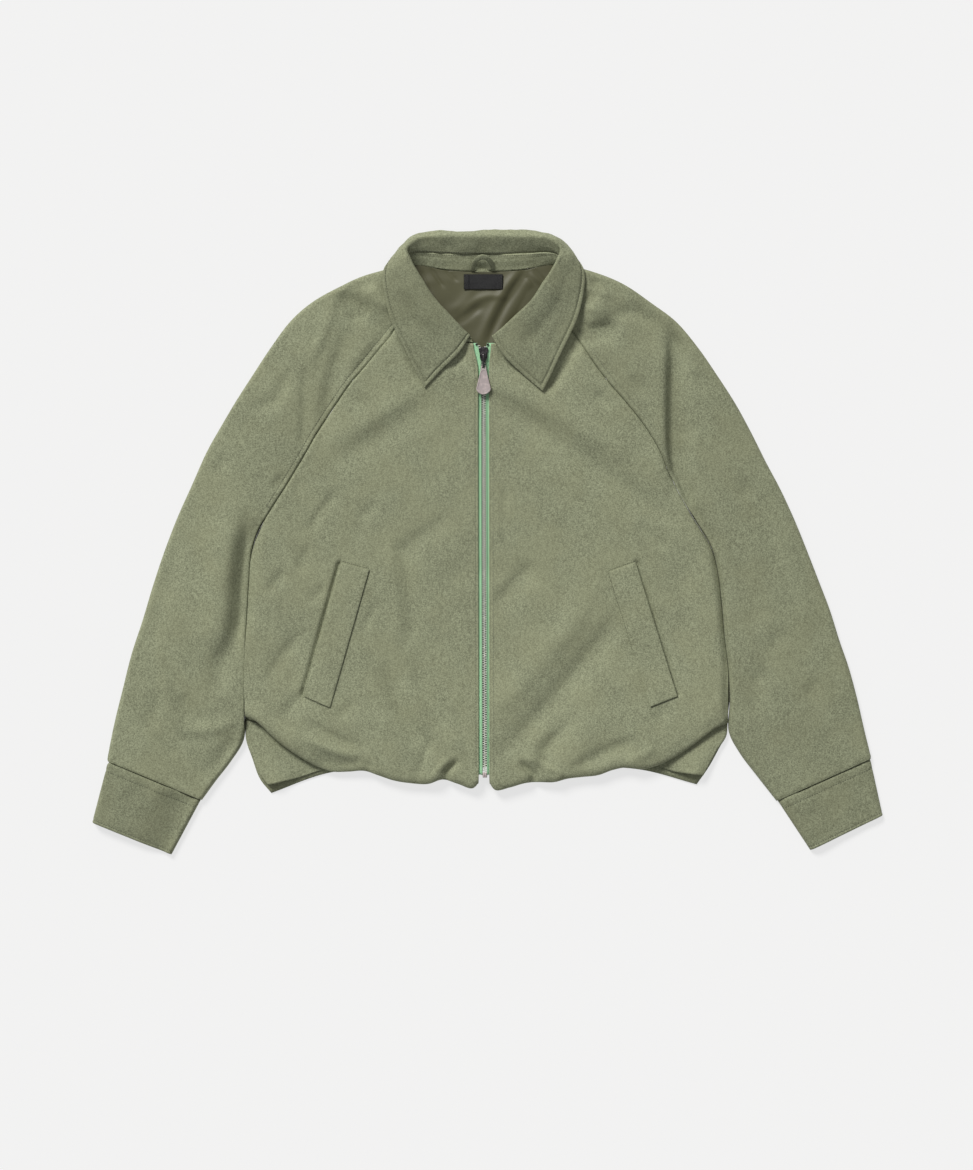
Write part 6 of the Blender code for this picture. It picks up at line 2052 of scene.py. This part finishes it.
class MakeLoop(bpy.types.Operator):
    """The hanging loop at the back neck"""
    bl_idname = "blouson.hanging_loop"
    bl_label = "Hanging loop"
    bl_options = {"REGISTER", "UNDO"}

    def execute(self, context):
        make_hanging_loop()
        return {"FINISHED"}


class MakeWelts(bpy.types.Operator):
    """Both slanted pocket welts"""
    bl_idname = "blouson.welts"
    bl_label = "Pocket welts"
    bl_options = {"REGISTER", "UNDO"}

    def execute(self, context):
        make_welts()
        return {"FINISHED"}


class MakeTapes(bpy.types.Operator):
    """Both woven zip tapes with their cords"""
    bl_idname = "blouson.tapes"
    bl_label = "Zip tapes"
    bl_options = {"REGISTER", "UNDO"}

    def execute(self, context):
        make_tapes()
        return {"FINISHED"}


class MakeChain(bpy.types.Operator):
    """The closed row of teeth"""
    bl_idname = "blouson.chain"
    bl_label = "Zip teeth"
    bl_options = {"REGISTER", "UNDO"}

    def execute(self, context):
        make_chain()
        return {"FINISHED"}


class MakeStops(bpy.types.Operator):
    """The top stops and the box at the lower end"""
    bl_idname = "blouson.stops"
    bl_label = "Zip stops"
    bl_options = {"REGISTER", "UNDO"}

    def execute(self, context):
        make_stops()
        return {"FINISHED"}


class MakeSlider(bpy.types.Operator):
    """The slider with its ears and pin"""
    bl_idname = "blouson.slider"
    bl_label = "Slider"
    bl_options = {"REGISTER", "UNDO"}

    def execute(self, context):
        make_slider()
        return {"FINISHED"}


class MakeLink(bpy.types.Operator):
    """The bent link of the pull"""
    bl_idname = "blouson.link"
    bl_label = "Pull link"
    bl_options = {"REGISTER", "UNDO"}

    def execute(self, context):
        make_link()
        return {"FINISHED"}


class MakeTab(bpy.types.Operator):
    """The drop-shaped pull tab"""
    bl_idname = "blouson.tab"
    bl_label = "Pull tab"
    bl_options = {"REGISTER", "UNDO"}

    def execute(self, context):
        make_tab()
        return {"FINISHED"}


class MakeStitching(bpy.types.Operator):
    """All visible rows of stitches"""
    bl_idname = "blouson.stitching"
    bl_label = "Stitching"
    bl_options = {"REGISTER", "UNDO"}

    def execute(self, context):
        make_stitching()
        return {"FINISHED"}


class MakeStage(bpy.types.Operator):
    """Floor, soft light and camera"""
    bl_idname = "blouson.stage"
    bl_label = "Stage"
    bl_options = {"REGISTER", "UNDO"}

    def execute(self, context):
        make_stage()
        return {"FINISHED"}


STEPS = (
    MakeBack, MakeFronts, MakeSleeves, MakeCuffs, MakeHemBands, MakeCollar,
    MakeLining, MakeLabel, MakeLoop, MakeWelts, MakeTapes, MakeChain,
    MakeStops, MakeSlider, MakeLink, MakeTab, MakeStitching, MakeStage,
)
GROUPS = {
    "blouson_cloth": ClothSettings,
    "blouson_stitches": StitchSettings,
    "blouson_zip": ZipSettings,
    "blouson_colours": ColourSettings,
    "blouson_stage": StageSettings,
}


class BlousonPanel(bpy.types.Panel):
    """Settings of the blouson, and a button for each of its pieces"""
    bl_idname = "VIEW3D_PT_blouson"
    bl_label = "Zip blouson"
    bl_space_type = "VIEW_3D"
    bl_region_type = "UI"
    bl_category = "Blouson"

    def draw(self, context):
        for group, kind in GROUPS.items():
            box = self.layout.box()
            box.label(text=kind.__name__.replace("Settings", ""))
            for name in kind.__annotations__:
                box.prop(getattr(context.scene, group), name)
        column = self.layout.column(align=True)
        for step in STEPS:
            column.operator(step.bl_idname)


def register():
    for kind in (*GROUPS.values(), *STEPS, BlousonPanel):
        bpy.utils.register_class(kind)
    for group, kind in GROUPS.items():
        setattr(bpy.types.Scene, group, PointerProperty(type=kind))


def unregister():
    for group in GROUPS:
        delattr(bpy.types.Scene, group)
    for kind in reversed((*GROUPS.values(), *STEPS, BlousonPanel)):
        bpy.utils.unregister_class(kind)


def main():
    register()
    for step in STEPS:
        section, name = step.bl_idname.split(".")
        getattr(getattr(bpy.ops, section), name)()


if __name__ == "__main__":
    main()
